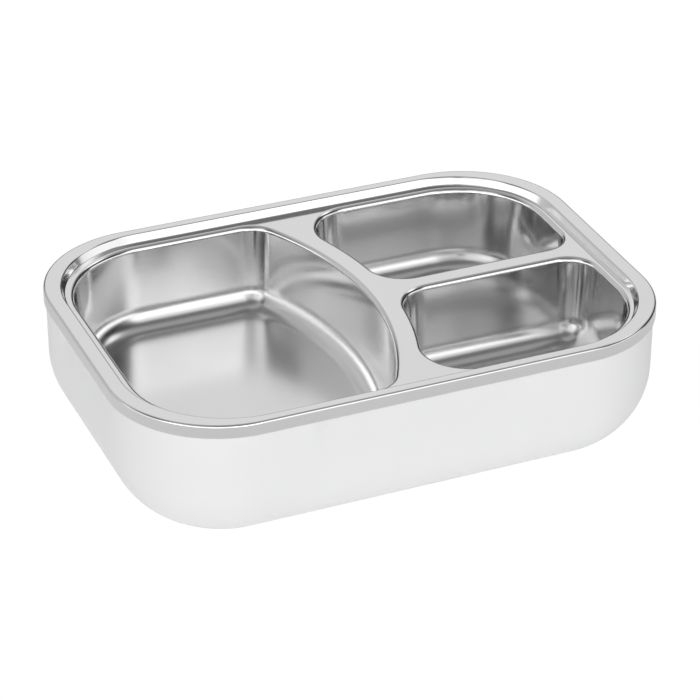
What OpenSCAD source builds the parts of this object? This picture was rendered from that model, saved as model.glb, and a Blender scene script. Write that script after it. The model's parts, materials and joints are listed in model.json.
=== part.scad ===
// Electric lunch box body with a lift-out steel tray of three compartments.
// Length along X, width along Y, height along Z. The origin is on the table, under the middle of the box.

/* [Tray] */
// Length over the skirt of the tray
tray_len = 230; // [222:1:240]
// Width over the skirt of the tray
tray_wid = 163.5; // [158:0.5:172]
// Plan radius of the tray's outer corners
tray_corner_r = 46; // [44:0.5:50]
// Thickness of the pressed steel
sheet_t = 0.6; // [0.5:0.05:0.7]
// Height of the skirt that hangs over the casing
skirt_h = 5.6; // [4.5:0.1:6.5]
// Radius of the crease between flange and skirt
crease_r = 1; // [0.8:0.1:1.4]
// Width of the flange at the two short ends
flange_end_w = 6.1; // [5.5:0.1:7]
// Width of the flange along the two long sides
flange_side_w = 4.1; // [3.9:0.1:5]
// Plan radius of the flange's inner edge
flange_inner_r = 44.5; // [42:0.5:46]
// Drop from the flange to the deck
step_depth = 3.4; // [2.8:0.1:4]
// Radius at the top and the foot of that drop
step_r = 0.6; // [0.5:0.1:0.8]

/* [Compartments] */
// From the short end of the tray to the lip of a compartment
lip_from_end = 9.5; // [9:0.1:12]
// From the long side of the tray to the lip of a compartment
lip_from_side = 8.6; // [8:0.1:11]
// Radius of the rolled lips
lip_r = 2; // [1.5:0.1:2.5]
// Height of the compartments' floors above the casing's underside
floor_h = 22.6; // [22:0.1:25]
// Lean of the compartment walls, in degrees
wall_draft = 4; // [2:0.5:6]
// Radius between wall and floor
floor_r = 10; // [7:0.5:11]
// Plan radius of the large compartment's outer corners
main_corner_r = 41; // [36:0.5:44]
// Plan radius of the small compartments' outer corners
side_corner_r = 38; // [34:0.5:42]
// Radius of the curved ridge, on the large compartment's side
ridge_r = 139.5; // [130:0.5:160]
// Where the crown of the curved ridge stands, from the middle of the tray
ridge_x = 10; // [0:0.5:16]
// Width of the curved ridge
ridge_w = 6.5; // [5:0.1:9]
// Width of the straight divider between the small compartments
divider_w = 5.6; // [5:0.1:9]
// Plan radius where the curved ridge meets the long walls, large compartment
main_nook_r = 15; // [11:0.5:18]
// Plan radius where the curved ridge meets the long walls, small compartments
side_nook_r = 20; // [16:0.5:22]
// Plan radius where the ridge meets the divider
fork_nook_r = 17; // [12:0.5:19]
// Plan radius at the outer ends of the divider
end_nook_r = 14; // [10:0.5:16]
// Smallest plan radius low in a corner
nook_min_r = 4; // [3:0.5:6]

/* [Casing] */
// Height from the casing's underside to the top of the tray
body_h = 62; // [61:0.5:66]
// Sideways play between skirt and casing
skirt_gap = 0.3; // [0.2:0.05:0.4]
// Wall of the casing
casing_t = 2.2; // [2:0.1:2.3]
// Radius of the sweeping bottom edge
casing_curve_r = 33.5; // [30:0.5:35]
// Length of the finger scoop in a long wall
scoop_side_len = 91; // [60:1:110]
// Length of the finger scoop in a short wall
scoop_end_len = 48; // [36:1:56]
// Height of a scoop below the skirt
scoop_h = 12.6; // [8:0.2:15]
// Depth of a scoop under the skirt
scoop_depth = 1.6; // [1:0.1:1.6]
// Thickness of that ledge
ledge_t = 3; // [2:0.2:4]

/* [Liner] */
// Wall of the liner
liner_t = 1.8; // [1.6:0.1:2]
// Play between liner and casing ledge
liner_gap = 0.3; // [0.2:0.05:0.4]
// Thickness of the liner's flange
liner_flange_t = 2; // [1.6:0.1:2.2]
// Thickness of the silicone ring under the liner's flange
seal_t = 1.5; // [1:0.1:1.6]
// Radius at the foot of the liner, inside
liner_curve_r = 8; // [6:0.5:9]

/* [Heating plate] */
// Length of the heating plate
plate_len = 120; // [116:1:124]
// Width of the heating plate
plate_wid = 82; // [80:0.5:88]
// Thickness of the heating plate
plate_t = 2; // [1.8:0.1:2.4]
// Gap between the cold plate and the tray's floor
plate_gap = 0.3; // [0.2:0.1:0.6]
// Thickness of the gasket under the plate
plate_gasket_t = 0.9; // [0.7:0.1:1.2]
// Width of the plate's edge that lies on the liner
plate_overlap = 6; // [5.5:0.1:6.5]
// Height of the bosses under the plate
plate_boss_h = 4; // [3.5:0.1:4.5]

/* [Heater] */
// Length of the heater's aluminium tube
heater_len = 70; // [60:1:72]
// Width of that tube
heater_wid = 24; // [20:0.5:25]
// Height of that tube
heater_h = 6.5; // [6:0.1:7]
// Wall of that tube
heater_wall = 1.2; // [1:0.05:1.3]
// Number of ceramic stones in the tube
stone_count = 3; // [2:1:3]
// Length of one stone
stone_len = 18; // [14:0.5:19]
// Thickness of an electrode strip
electrode_t = 0.4; // [0.3:0.05:0.5]
// Thickness of an insulating film
film_t = 0.3; // [0.2:0.05:0.4]
// Radius of the thermostat
thermostat_r = 8; // [7.5:0.1:8.5]
// Radius of the thermal fuse
fuse_r = 2; // [1.8:0.1:2.2]

/* [Power inlet] */
// Width of the inlet's socket, inside
inlet_wid = 17.6; // [16:0.1:18]
// Height of the inlet's socket, inside
inlet_h = 8.4; // [8:0.1:8.8]
// Depth of the inlet's socket
inlet_deep = 13; // [12:0.5:14]
// Spacing of the two pins
pin_pitch = 8.6; // [8:0.1:9]
// Diameter of a pin
pin_d = 2.4; // [2:0.1:2.6]

/* [Base] */
// Length of the base cover
cover_len = 152; // [148:1:154]
// Width of the base cover
cover_wid = 86; // [84:0.5:88]
// How far the rubber feet stand below the casing
stand_h = 1.5; // [1:0.1:2.5]
// Diameter of a rubber foot
foot_d = 10; // [8:0.5:11]
// Diameter of a base screw
screw_d = 3; // [2.6:0.1:3.2]
// Length of a base screw below its head
screw_len = 12; // [9:0.5:12]

/* [Hidden] */
$fn = 48;

eps = 0.01;
rim_z = stand_h + body_h;
deck_z = rim_z - step_depth;
floor_z = stand_h + floor_h;
pocket_depth = deck_z - floor_z;

casing_top = rim_z - sheet_t;
casing_inset = sheet_t + skirt_gap;
casing_z = stand_h;

// Play above the liner's flange, beside it, and how far the casing's ledge reaches in
liner_top_gap = 0.6;
liner_side_gap = 1.3;
ledge_reach = 3.2;
liner_top = deck_z - sheet_t - liner_top_gap;
ledge_z = liner_top - liner_flange_t - seal_t;
ledge_inset = casing_inset + casing_t + ledge_reach;
liner_inset = ledge_inset + liner_gap;
liner_flange_inset = casing_inset + casing_t + liner_side_gap;

plate_top = floor_z - sheet_t - plate_gap;
plate_z = plate_top - plate_t;
liner_floor_top = plate_z - plate_gasket_t;
liner_floor_z = liner_floor_top - liner_t;
plate_boss_z = plate_z - plate_boss_h;

cover_t = 1.2;
cover_plate_t = 3.2;
cover_gap = 0.3;
cover_lip = 4;
cover_r = 8.7;
opening_r = 8;
cover_top = casing_z + cover_plate_t;
base_screw_x = 64;
base_screw_y = 30;
head_h = 1.6;
head_d = 2.1 * screw_d;
head_sink = 0.1;
base_screw_z = casing_z + head_h + head_sink;
// Play of a screw in the hole it passes and in the hole it holds in
pass_gap = 0.4;
hold_gap = 0.1;

// Plan shapes

function arc(cx, cy, r, a0, a1, n) =
    [for (k = [0 : n - 1]) let (a = a0 + (a1 - a0) * k / (n - 1)) [cx + r * cos(a), cy + r * sin(a)]];

corner_n = 15;
nook_n = 9;
ridge_n = 13;

// Rounded rectangle of half sizes hx and hy, counter-clockwise from the middle of the left side
function round_rect(hx, hy, r) = concat(
    [[-hx, 0]],
    arc(-hx + r, -hy + r, r, 180, 270, corner_n),
    arc(hx - r, -hy + r, r, 270, 360, corner_n),
    arc(hx - r, hy - r, r, 0, 90, corner_n),
    arc(-hx + r, hy - r, r, 90, 180, corner_n));

// The tray's outer outline, drawn in by u
function rim_outline(u) = round_rect(tray_len / 2 - u, tray_wid / 2 - u, tray_corner_r - u);

// The inner edge of the flange, drawn in by u
function step_outline(u) = round_rect(
    tray_len / 2 - flange_end_w - u, tray_wid / 2 - flange_side_w - u, flange_inner_r - u);

lip_x = tray_len / 2 - lip_from_end;
lip_y = tray_wid / 2 - lip_from_side;
ridge_cx = ridge_x - ridge_r;

function nook(r, u) = max(r - u, nook_min_r);

// Large compartment, drawn in by u: two big corners on the left, a bulging ridge on the right
function main_outline(u) =
    let (r = main_corner_r - u, s = nook(main_nook_r, u), big = ridge_r - u)
    let (y = lip_y - u, cy = y - s, cx = ridge_cx + sqrt(pow(big - s, 2) - cy * cy))
    let (a = atan2(cy, cx - ridge_cx))
    concat(
        [[-lip_x + u, 0]],
        arc(-lip_x + u + r, -y + r, r, 180, 270, corner_n),
        arc(cx, -cy, s, -90, -a, nook_n),
        arc(ridge_cx, 0, big, -a * 0.96, a * 0.96, ridge_n),
        arc(cx, cy, s, a, 90, nook_n),
        arc(-lip_x + u + r, y - r, r, 90, 180, corner_n));

// Rear small compartment, drawn in by u: its left wall is concentric with the ridge
function side_outline(u) =
    let (r = side_corner_r - u, s1 = nook(side_nook_r, u), s2 = nook(fork_nook_r, u))
    let (s3 = nook(end_nook_r, u))
    let (big = ridge_r + ridge_w + u, x1 = lip_x - u, y1 = lip_y - u, y0 = divider_w / 2 + u)
    let (cy1 = y1 - s1, cx1 = ridge_cx + sqrt(pow(big + s1, 2) - cy1 * cy1), a1 = atan2(cy1, cx1 - ridge_cx))
    let (cy2 = y0 + s2, cx2 = ridge_cx + sqrt(pow(big + s2, 2) - cy2 * cy2), a2 = atan2(cy2, cx2 - ridge_cx))
    concat(
        arc(x1 - r, y1 - r, r, 0, 90, corner_n),
        arc(cx1, cy1, s1, 90, 180 + a1, nook_n),
        [for (k = [1 : ridge_side_n]) let (a = a1 + (a2 - a1) * k / (ridge_side_n + 1))
            [ridge_cx + big * cos(a), big * sin(a)]],
        arc(cx2, cy2, s2, 180 + a2, 270, nook_n),
        arc(x1 - s3, y0 + s3, s3, 270, 360, nook_n));

ridge_side_n = 5;

// Pressed wall: [inward, down] from a level surface over a rolled edge, down a leaning wall to a floor.
// thick is 0 on the upper face of the sheet and its thickness on the lower face.
function press_profile(depth, r_top, r_low, draft, thick, n) =
    let (a = 90 - draft, drop = depth - (r_top + r_low) * (1 - cos(a)))
    let (run = r_top * sin(a) + drop * tan(draft) + r_low * sin(a))
    concat(
        [for (k = [0 : n[0]]) let (t = a * k / n[0])
            [(r_top - thick) * sin(t), r_top - (r_top - thick) * cos(t)]],
        [for (k = [n[1] : -1 : 0]) let (t = a * k / n[1])
            [run - (r_low + thick) * sin(t), depth - r_low + (r_low + thick) * cos(t)]]);

// Solids on plan shapes

module plan(hx, hy, r) {
    square([2 * hx, 2 * (hy - r)], center = true);
    square([2 * (hx - r), 2 * hy], center = true);
    for (x = [-1, 1], y = [-1, 1]) {
        translate([x * (hx - r), y * (hy - r)]) circle(r);
    }
}

module slab(hx, hy, r, z0, z1) {
    translate([0, 0, z0]) linear_extrude(z1 - z0) plan(hx, hy, r);
}

module frame_ring(hx, hy, r, w, z0, z1) {
    difference() {
        slab(hx, hy, r, z0, z1);
        slab(hx - w, hy - w, r - w, z0 - 1, z1 + 1);
    }
}

// Half section of a bowl: x outwards from the corner's axis, y up
module bowl_section(r, z0, z1, curve) {
    translate([0, z0]) square([r - curve, z1 - z0]);
    translate([0, z0 + curve]) square([r, z1 - z0 - curve]);
    intersection() {
        translate([r - curve, z0 + curve]) circle(curve);
        translate([0, z0]) square([r, curve]);
    }
}

module bowl_span(half, r, z0, z1, curve) {
    square_half = half - r;
    translate([-square_half, z0]) square([2 * square_half, z1 - z0]);
    for (side = [0, 1]) {
        mirror([side, 0]) translate([square_half, 0]) bowl_section(r, z0, z1, curve);
    }
}

// Solid with a rounded plan and a swept bottom edge
module bowl(hx, hy, r, z0, z1, curve) {
    rotate([90, 0, 0]) linear_extrude(2 * (hy - r), center = true) bowl_span(hx, r, z0, z1, curve);
    rotate([90, 0, 90]) linear_extrude(2 * (hx - r), center = true) bowl_span(hy, r, z0, z1, curve);
    for (k = [0 : 3]) {
        sx = (k == 0 || k == 3) ? 1 : -1;
        sy = k < 2 ? 1 : -1;
        translate([sx * (hx - r), sy * (hy - r), 0])
            rotate([0, 0, 90 * k]) rotate_extrude(angle = 90) bowl_section(r, z0, z1, curve);
    }
}

module at_each(points) {
    for (p = points) {
        translate([p[0], p[1], 0]) children();
    }
}

function four(x, y) = [[x, y], [-x, y], [-x, -y], [x, -y]];

// Casing

casing_hx = tray_len / 2 - casing_inset;
casing_hy = tray_wid / 2 - casing_inset;
casing_r = tray_corner_r - casing_inset;

module casing_solid(off, z1) {
    bowl(casing_hx - off, casing_hy - off, casing_r - off, casing_z + off, z1, casing_curve_r - off);
}

// Wedge that opens under the skirt and runs out down the wall at y = -half
module scoop_cut(half, len) {
    low = rim_z - skirt_h;
    out = 2;
    translate([-len / 2, -half, 0]) rotate([90, 0, 90]) linear_extrude(len)
        polygon([[-out, low + 1], [scoop_depth, low + 1], [scoop_depth, low],
            [-out, low - scoop_h * (1 + out / scoop_depth)]]);
}

backing_t = 0.9;
backing_rim = 2;

// Thicker wall behind a scoop
module scoop_backing(half, len) {
    top = liner_top - liner_gap;
    low = rim_z - skirt_h - scoop_h - backing_rim;
    translate([-len / 2 - backing_rim, -half + casing_t - liner_gap, low])
        cube([len + 2 * backing_rim, backing_t + liner_gap, top - low]);
}

module each_wall() {
    for (s = [0, 180]) {
        rotate([0, 0, s]) children(0);
        rotate([0, 0, s + 90]) children(1);
    }
}

bay_gap = 0.4;
bay_roof_t = 1;
bay_roof_gap = 0.2;
inlet_wall = 1.2;
inlet_roof = 1;
inlet_ear = 7;
inlet_gap = 0.2;
inlet_sink = 0.3;
inlet_body_hx = inlet_wid / 2 + inlet_wall;
inlet_body_hz = inlet_h / 2 + inlet_roof;
inlet_flange_t = 1.5;
inlet_flange_hx = inlet_body_hx + inlet_ear;
inlet_flange_hz = inlet_body_hz + inlet_gap;
inlet_screw_d = 2;
inlet_screw_x = inlet_body_hx + inlet_ear / 2;
bay_hx = inlet_flange_hx + bay_gap;
bay_top = liner_floor_z - bay_roof_gap - bay_roof_t;
inlet_z = bay_top - bay_gap - inlet_flange_hz;
bay_low = inlet_z - inlet_flange_hz - bay_gap;
// The seat stands where the lower edge of the flange comes out flush with the swept wall
sweep_z = casing_z + casing_curve_r;
sweep_low = inlet_z - inlet_flange_hz;
sweep_y = casing_hy - casing_curve_r + sqrt(pow(casing_curve_r, 2) - pow(sweep_z - sweep_low, 2));
inlet_seat_y = sweep_y - inlet_flange_t - inlet_sink;

module inlet_bay_walls() {
    intersection() {
        casing_solid(0, casing_top);
        translate([-bay_hx - bay_roof_t, inlet_seat_y - casing_t, casing_z])
            cube([2 * (bay_hx + bay_roof_t), casing_hy, bay_top + bay_roof_t - casing_z]);
    }
}

module inlet_bay_cut() {
    translate([-bay_hx, inlet_seat_y, bay_low]) cube([2 * bay_hx, casing_hy, bay_top - bay_low]);
    translate([-inlet_body_hx - inlet_gap, inlet_seat_y - casing_t - 1, inlet_z - inlet_body_hz - inlet_gap])
        cube([2 * (inlet_body_hx + inlet_gap), casing_t + 2, 2 * (inlet_body_hz + inlet_gap)]);
    for (x = [-1, 1]) {
        translate([x * inlet_screw_x, inlet_seat_y + 1, inlet_z]) rotate([90, 0, 0])
            cylinder(d = inlet_screw_d + hold_gap, h = casing_t + 2);
    }
}

module outer_casing() {
    color([0.95, 0.95, 0.94]) difference() {
        union() {
            difference() {
                casing_solid(0, casing_top);
                casing_solid(casing_t, casing_top + 1);
            }
            difference() {
                slab(casing_hx - 1, casing_hy - 1, casing_r - 1, ledge_z - ledge_t, ledge_z);
                slab(tray_len / 2 - ledge_inset, tray_wid / 2 - ledge_inset, tray_corner_r - ledge_inset,
                    ledge_z - ledge_t - 1, ledge_z + 1);
            }
            each_wall() {
                scoop_backing(casing_hy, scoop_side_len);
                scoop_backing(casing_hx, scoop_end_len);
            }
            inlet_bay_walls();
        }
        each_wall() {
            scoop_cut(casing_hy, scoop_side_len);
            scoop_cut(casing_hx, scoop_end_len);
        }
        inlet_bay_cut();
        slab(cover_len / 2 + cover_gap, cover_wid / 2 + cover_gap, cover_r + cover_gap,
            casing_z - 1, casing_z + cover_t);
        slab(cover_len / 2 - cover_lip, cover_wid / 2 - cover_lip, opening_r,
            casing_z - 1, casing_z + casing_t + 1);
    }
}

// Liner

window_hx = plate_len / 2 - plate_overlap;
window_hy = plate_wid / 2 - plate_overlap;
window_r = 8;
liner_boss_r = 3.5;
plate_screw_d = 3;
plate_head_d = 5.6;
plate_screw_edge = 3;
plate_screw_y = 20;
plate_screw_at = concat(
    four(plate_len / 2 - plate_screw_edge, plate_screw_y),
    [for (side = [1, -1]) [0, side * (plate_wid / 2 - plate_screw_edge)]]);

module inner_liner() {
    hx = tray_len / 2 - liner_inset;
    hy = tray_wid / 2 - liner_inset;
    r = tray_corner_r - liner_inset;
    color([0.88, 0.89, 0.9]) difference() {
        union() {
            bowl(hx, hy, r, liner_floor_z, liner_top, liner_curve_r + liner_t);
            slab(tray_len / 2 - liner_flange_inset, tray_wid / 2 - liner_flange_inset,
                tray_corner_r - liner_flange_inset, liner_top - liner_flange_t, liner_top);
            at_each(four(base_screw_x, base_screw_y))
                translate([0, 0, cover_top]) cylinder(r = liner_boss_r, h = liner_floor_z + 1 - cover_top);
        }
        bowl(hx - liner_t, hy - liner_t, r - liner_t, liner_floor_top, liner_top + 1, liner_curve_r);
        slab(window_hx, window_hy, window_r, liner_floor_z - 1, liner_floor_top + 1);
        at_each(four(base_screw_x, base_screw_y))
            translate([0, 0, base_screw_z]) cylinder(d = screw_d + hold_gap, h = screw_len + 0.5);
        at_each(plate_screw_at)
            translate([0, 0, liner_floor_z - 1]) cylinder(d = plate_screw_d + pass_gap, h = liner_t + 2);
    }
}

module rim_seal() {
    inset = liner_flange_inset + liner_gap;
    color([0.75, 0.75, 0.76]) frame_ring(tray_len / 2 - inset, tray_wid / 2 - inset, tray_corner_r - inset,
        ledge_inset - inset - liner_gap / 2, ledge_z, ledge_z + seal_t);
}

// Tray

inner_crease_r = min(crease_r - sheet_t, skirt_gap / 2);
rim_low = concat(
    [for (k = [3 : -1 : 0]) let (t = 30 * k)
        [sheet_t + inner_crease_r * (1 - cos(t)), rim_z - sheet_t - inner_crease_r * (1 - sin(t))]],
    [[sheet_t, rim_z - skirt_h]]);
rim_high = concat(
    [[0, rim_z - skirt_h]],
    [for (k = [0 : 4]) let (t = 22.5 * k) [crease_r * (1 - cos(t)), rim_z - crease_r * (1 - sin(t))]]);

step_n = [3, 3];
pocket_top_n = [4, 6];
pocket_low_n = [3, 5];
step_draft = 5;

function step_profile(thick) =
    press_profile(step_depth, step_r + sheet_t * 0.5, step_r, step_draft, thick, step_n);
function pocket_profile(thick, n) = press_profile(pocket_depth, lip_r, floor_r, wall_draft, thick, n);
function reversed(list) = [for (k = [len(list) - 1 : -1 : 0]) list[k]];
function levels(outline, z) = [for (p = outline) [p[0], p[1], z]];
function mirrored(outline) = [for (p = outline) [p[0], -p[1]]];

// Rings of points from the deck's underside, round the skirt's edge, to the deck's upper face
rim_rings = concat(
    reversed([for (p = step_profile(sheet_t)) levels(step_outline(p[0]), rim_z - p[1])]),
    [for (p = rim_low) levels(rim_outline(p[0]), p[1])],
    [for (p = rim_high) levels(rim_outline(p[0]), p[1])],
    [for (p = step_profile(0)) levels(step_outline(p[0]), rim_z - p[1])]);

function main_rings(thick, n) =
    [for (p = pocket_profile(thick, n)) levels(main_outline(p[0]), deck_z - p[1])];
function rear_rings(thick, n) =
    [for (p = pocket_profile(thick, n)) levels(side_outline(p[0]), deck_z - p[1])];
function front_rings(thick, n) =
    [for (p = pocket_profile(thick, n)) levels(mirrored(side_outline(p[0])), deck_z - p[1])];

function flat(lists) = [for (list = lists) for (item = list) item];

// Triangles between rings a and b of n points each, from point number first
function strip(first, a, b, n, flip) = flat([for (k = [0 : n - 1])
    let (m = (k + 1) % n, a0 = first + a * n + k, a1 = first + a * n + m, b0 = first + b * n + k,
        b1 = first + b * n + m)
    flip ? [[a0, a1, b1], [a0, b1, b0]] : [[b1, a1, a0], [b0, b1, a0]]]);

function strips(first, rings, n, flip) = flat([for (k = [0 : rings - 2]) strip(first, k, k + 1, n, flip)]);
function count(from, to) = from <= to ? [for (k = [from : to]) k] : [for (k = [from : -1 : to]) k];
function ring_face(first, ring, n) = count(first + ring * n, first + ring * n + n - 1);

// Twice the area of the triangle a, b, c seen from above, above zero where it turns left
function turn(a, b, c) = (b[0] - a[0]) * (c[1] - a[1]) - (b[1] - a[1]) * (c[0] - a[0]);
function within(p, a, b, c) = turn(a, b, p) > -eps && turn(b, c, p) > -eps && turn(c, a, p) > -eps;
function corner(f, k) = [f[(k + len(f) - 1) % len(f)], f[k], f[(k + 1) % len(f)]];
function others(f, t) = [for (m = f) if (m != t[0] && m != t[1] && m != t[2]) m];
function is_ear(p, f, t) = turn(p[t[0]], p[t[1]], p[t[2]]) > eps / 10 &&
    len([for (m = others(f, t)) if (within(p[m], p[t[0]], p[t[1]], p[t[2]])) m]) == 0;
function first_ear(p, f, k) = k == len(f) - 1 || is_ear(p, f, corner(f, k)) ? k : first_ear(p, f, k + 1);

// Level face f cut into triangles, one corner after another
function clip(p, f, done) = len(f) == 3 ? concat(done, [f]) :
    let (k = first_ear(p, f, 0))
    clip(p, [for (m = [0 : len(f) - 1]) if (m != k) f[m]], concat(done, [corner(f, k)]));
function clipped(p, faces) = flat([for (f = faces) clip(p, f, [])]);
function turned(faces) = [for (f = faces) reversed(f)];

rim_n = 1 + 4 * corner_n;
main_n = 1 + 2 * corner_n + 2 * nook_n + ridge_n;
side_n = corner_n + 3 * nook_n + ridge_side_n;

// Numbers of the points where the deck is cut into four simple faces
rim_right = 1 + 2 * corner_n;
main_ridge = corner_n + nook_n + 1;
main_up = main_ridge + 9;
main_down = main_ridge + 3;
side_mid = corner_n + nook_n + 2;
side_end = corner_n + 2 * nook_n + ridge_side_n;

// Faces of the deck between the rim ring and the lips of the three compartments, seen from above
function deck_faces(rim, main, rear, front) = [
    concat(count(rim + rim_right, rim + rim_n - 1), [rim, main], count(main + main_n - 1, main + main_up),
        count(rear + side_mid, rear)),
    concat(count(rim, rim + rim_right - 1), count(front, front + side_mid), count(main + main_down, main)),
    concat([rim + rim_right - 1, rim + rim_right, rear], count(rear + side_n - 1, rear + side_end),
        count(front + side_end, front + side_n - 1), [front]),
    concat(count(main + main_up, main + main_down), count(front + side_mid, front + side_end),
        count(rear + side_end, rear + side_mid))
];

module food_tray() {
    top_rings = pocket_top_n[0] + pocket_top_n[1] + 2;
    low_rings = pocket_low_n[0] + pocket_low_n[1] + 2;
    rim_count = len(rim_rings);
    main_top = rim_count * rim_n;
    rear_top = main_top + top_rings * main_n;
    front_top = rear_top + top_rings * side_n;
    main_low = front_top + top_rings * side_n;
    rear_low = main_low + low_rings * main_n;
    front_low = rear_low + low_rings * side_n;
    points = flat(concat(
        rim_rings,
        main_rings(0, pocket_top_n), rear_rings(0, pocket_top_n), front_rings(0, pocket_top_n),
        main_rings(sheet_t, pocket_low_n), rear_rings(sheet_t, pocket_low_n),
        front_rings(sheet_t, pocket_low_n)));
    upper = concat(
        deck_faces((rim_count - 1) * rim_n, main_top, rear_top, front_top),
        [ring_face(main_top, top_rings - 1, main_n), ring_face(rear_top, top_rings - 1, side_n),
            reversed(ring_face(front_top, top_rings - 1, side_n))]);
    lower = concat(
        deck_faces(0, main_low, rear_low, front_low),
        [ring_face(main_low, low_rings - 1, main_n), ring_face(rear_low, low_rings - 1, side_n),
            reversed(ring_face(front_low, low_rings - 1, side_n))]);
    faces = concat(
        turned(clipped(points, upper)),
        clipped(points, lower),
        strips(0, rim_count, rim_n, false),
        strips(main_top, top_rings, main_n, false),
        strips(rear_top, top_rings, side_n, false),
        strips(front_top, top_rings, side_n, true),
        strips(main_low, low_rings, main_n, true),
        strips(rear_low, low_rings, side_n, true),
        strips(front_low, low_rings, side_n, false));
    color([0.78, 0.79, 0.8]) polyhedron(points, faces, convexity = 8);
}

// Heating plate

heater_x = -5;
clamp_reach = 22;
clamp_x = [heater_x - clamp_reach, heater_x + clamp_reach];
plate_boss_r = 3;
tap_d = 2.5;
tap_head_d = 4.6;
// From the middle of a tapped boss to the end of the strip on it
foot_reach = 3.2;
clamp_t = 1;
clamp_wid = 8;
clamp_gap = 0.2;
bracket_z = plate_boss_z - clamp_t;
clamp_boss_y = heater_wid / 2 + clamp_gap + clamp_t + foot_reach + 1.1;
thermostat_x = 42;
bracket_boss_y = thermostat_r + 2 * plate_boss_r;
sleeve_t = 0.6;
sleeve_r = fuse_r + sleeve_t;
fuse_y = clamp_boss_y + 4.5;
fuse_boss_y = fuse_y + sleeve_r + clamp_t + foot_reach + 0.7;
bracket_points = concat(
    [for (x = clamp_x, y = [-1, 1]) [x, y * clamp_boss_y]],
    [[thermostat_x, bracket_boss_y], [thermostat_x, -bracket_boss_y], [0, fuse_boss_y]]);

plate_r = 12;
plate_edge = 4;
plate_step = 0.4;
plate_bite = 1;
gasket_gap = 0.2;

module heating_plate() {
    color([0.8, 0.81, 0.82]) difference() {
        union() {
            slab(plate_len / 2, plate_wid / 2, plate_r, plate_z, plate_top - plate_step);
            slab(plate_len / 2 - plate_edge, plate_wid / 2 - plate_edge, plate_r - 3, plate_z, plate_top);
            at_each(bracket_points)
                translate([0, 0, plate_boss_z]) cylinder(r = plate_boss_r, h = plate_boss_h + eps);
        }
        at_each(bracket_points)
            translate([0, 0, plate_boss_z - 1]) cylinder(d = tap_d + hold_gap, h = plate_boss_h + 1);
        at_each(plate_screw_at)
            translate([0, 0, plate_z - 1]) cylinder(d = plate_screw_d + hold_gap, h = 1 + plate_bite + 0.2);
    }
}

module plate_gasket() {
    color([0.85, 0.35, 0.25]) difference() {
        frame_ring(plate_len / 2 - gasket_gap, plate_wid / 2 - gasket_gap, plate_r - gasket_gap,
            plate_overlap - 2 * gasket_gap, liner_floor_top, plate_z);
        at_each(plate_screw_at) translate([0, 0, liner_floor_top - 1])
            cylinder(d = plate_screw_d + pass_gap, h = plate_gasket_t + 2);
    }
}

module plate_screws() {
    color([0.6, 0.6, 0.62]) at_each(plate_screw_at) {
        translate([0, 0, liner_floor_z - head_h]) cylinder(d = plate_head_d, h = head_h);
        translate([0, 0, liner_floor_z - eps])
            cylinder(d = plate_screw_d, h = plate_z + plate_bite - liner_floor_z);
    }
}

// Heater

heater_z = plate_z - heater_h;
stack_z = heater_z + heater_wall;
stack_h = heater_h - 2 * heater_wall;
stone_h = stack_h - 2 * (film_t + electrode_t);
stack_gap = 0.8;
stack_wid = heater_wid - 2 * (heater_wall + stack_gap);
tab_len = 8;
tab_wid = 5;
tab_y = 5;
stone_gap = 1;
electrode_end = 3;
film_end = 1;

module layer(len, wid, z, h) {
    translate([heater_x - len / 2, -wid / 2, z]) cube([len, wid, h]);
}

module heater_tube() {
    color([0.7, 0.71, 0.73]) difference() {
        layer(heater_len, heater_wid, heater_z, heater_h);
        layer(heater_len + 2, heater_wid - 2 * heater_wall, stack_z, stack_h);
    }
}

module ceramic_stones() {
    pitch = stone_len + stone_gap;
    color([0.25, 0.25, 0.27]) for (k = [0 : stone_count - 1]) {
        translate([(k - (stone_count - 1) / 2) * pitch, 0, 0])
            layer(stone_len, stack_wid - 2 * stone_gap, stack_z + film_t + electrode_t, stone_h);
    }
}

module heater_electrodes() {
    low = stack_z + film_t;
    color([0.85, 0.7, 0.35]) for (p = [[low, -1], [low + electrode_t + stone_h, 1]]) {
        layer(heater_len - 2 * electrode_end, stack_wid - stone_gap, p[0], electrode_t);
        translate([tab_x, p[1] * tab_y - tab_wid / 2, p[0]])
            cube([tab_len + electrode_end + 1, tab_wid, electrode_t]);
    }
}

module heater_films() {
    color([0.8, 0.55, 0.15]) for (z = [stack_z, stack_z + stack_h - film_t]) {
        layer(heater_len - 2 * film_end, stack_wid, z, film_t);
    }
}

// Strap under the tube, with two legs and two feet on the bosses
module clamp_section() {
    half = heater_wid / 2 + clamp_gap;
    foot = clamp_boss_y + foot_reach;
    polygon([
        [-foot, plate_boss_z], [-foot, plate_boss_z - clamp_t], [-half - clamp_t, plate_boss_z - clamp_t],
        [-half - clamp_t, heater_z - clamp_t], [half + clamp_t, heater_z - clamp_t],
        [half + clamp_t, plate_boss_z - clamp_t], [foot, plate_boss_z - clamp_t], [foot, plate_boss_z],
        [half, plate_boss_z], [half, heater_z], [-half, heater_z], [-half, plate_boss_z]
    ]);
}

module heater_clamps() {
    color([0.72, 0.73, 0.75]) for (x = clamp_x) {
        difference() {
            translate([x - clamp_wid / 2, 0, 0]) rotate([90, 0, 90])
                linear_extrude(clamp_wid) clamp_section();
            for (y = [-1, 1]) {
                translate([x, y * clamp_boss_y, bracket_z - 1])
                    cylinder(d = tap_d + pass_gap, h = clamp_t + 2);
            }
        }
    }
}

module bracket_screws() {
    color([0.6, 0.6, 0.62]) at_each(bracket_points) {
        translate([0, 0, bracket_z - head_h]) cylinder(d = tap_head_d, h = head_h);
        translate([0, 0, bracket_z - eps]) cylinder(d = tap_d, h = plate_boss_h);
    }
}

// Thermostat and thermal fuse

thermostat_h = 8;
cap_lip = 0.6;
bracket_lip = 0.4;
bracket_wid = 8;
terminal_t = 0.8;
terminal_wid = 6.4;
terminal_root = 4;
terminal_y = 13;
terminal_z = plate_boss_z - thermostat_h + terminal_t / 2;

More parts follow.
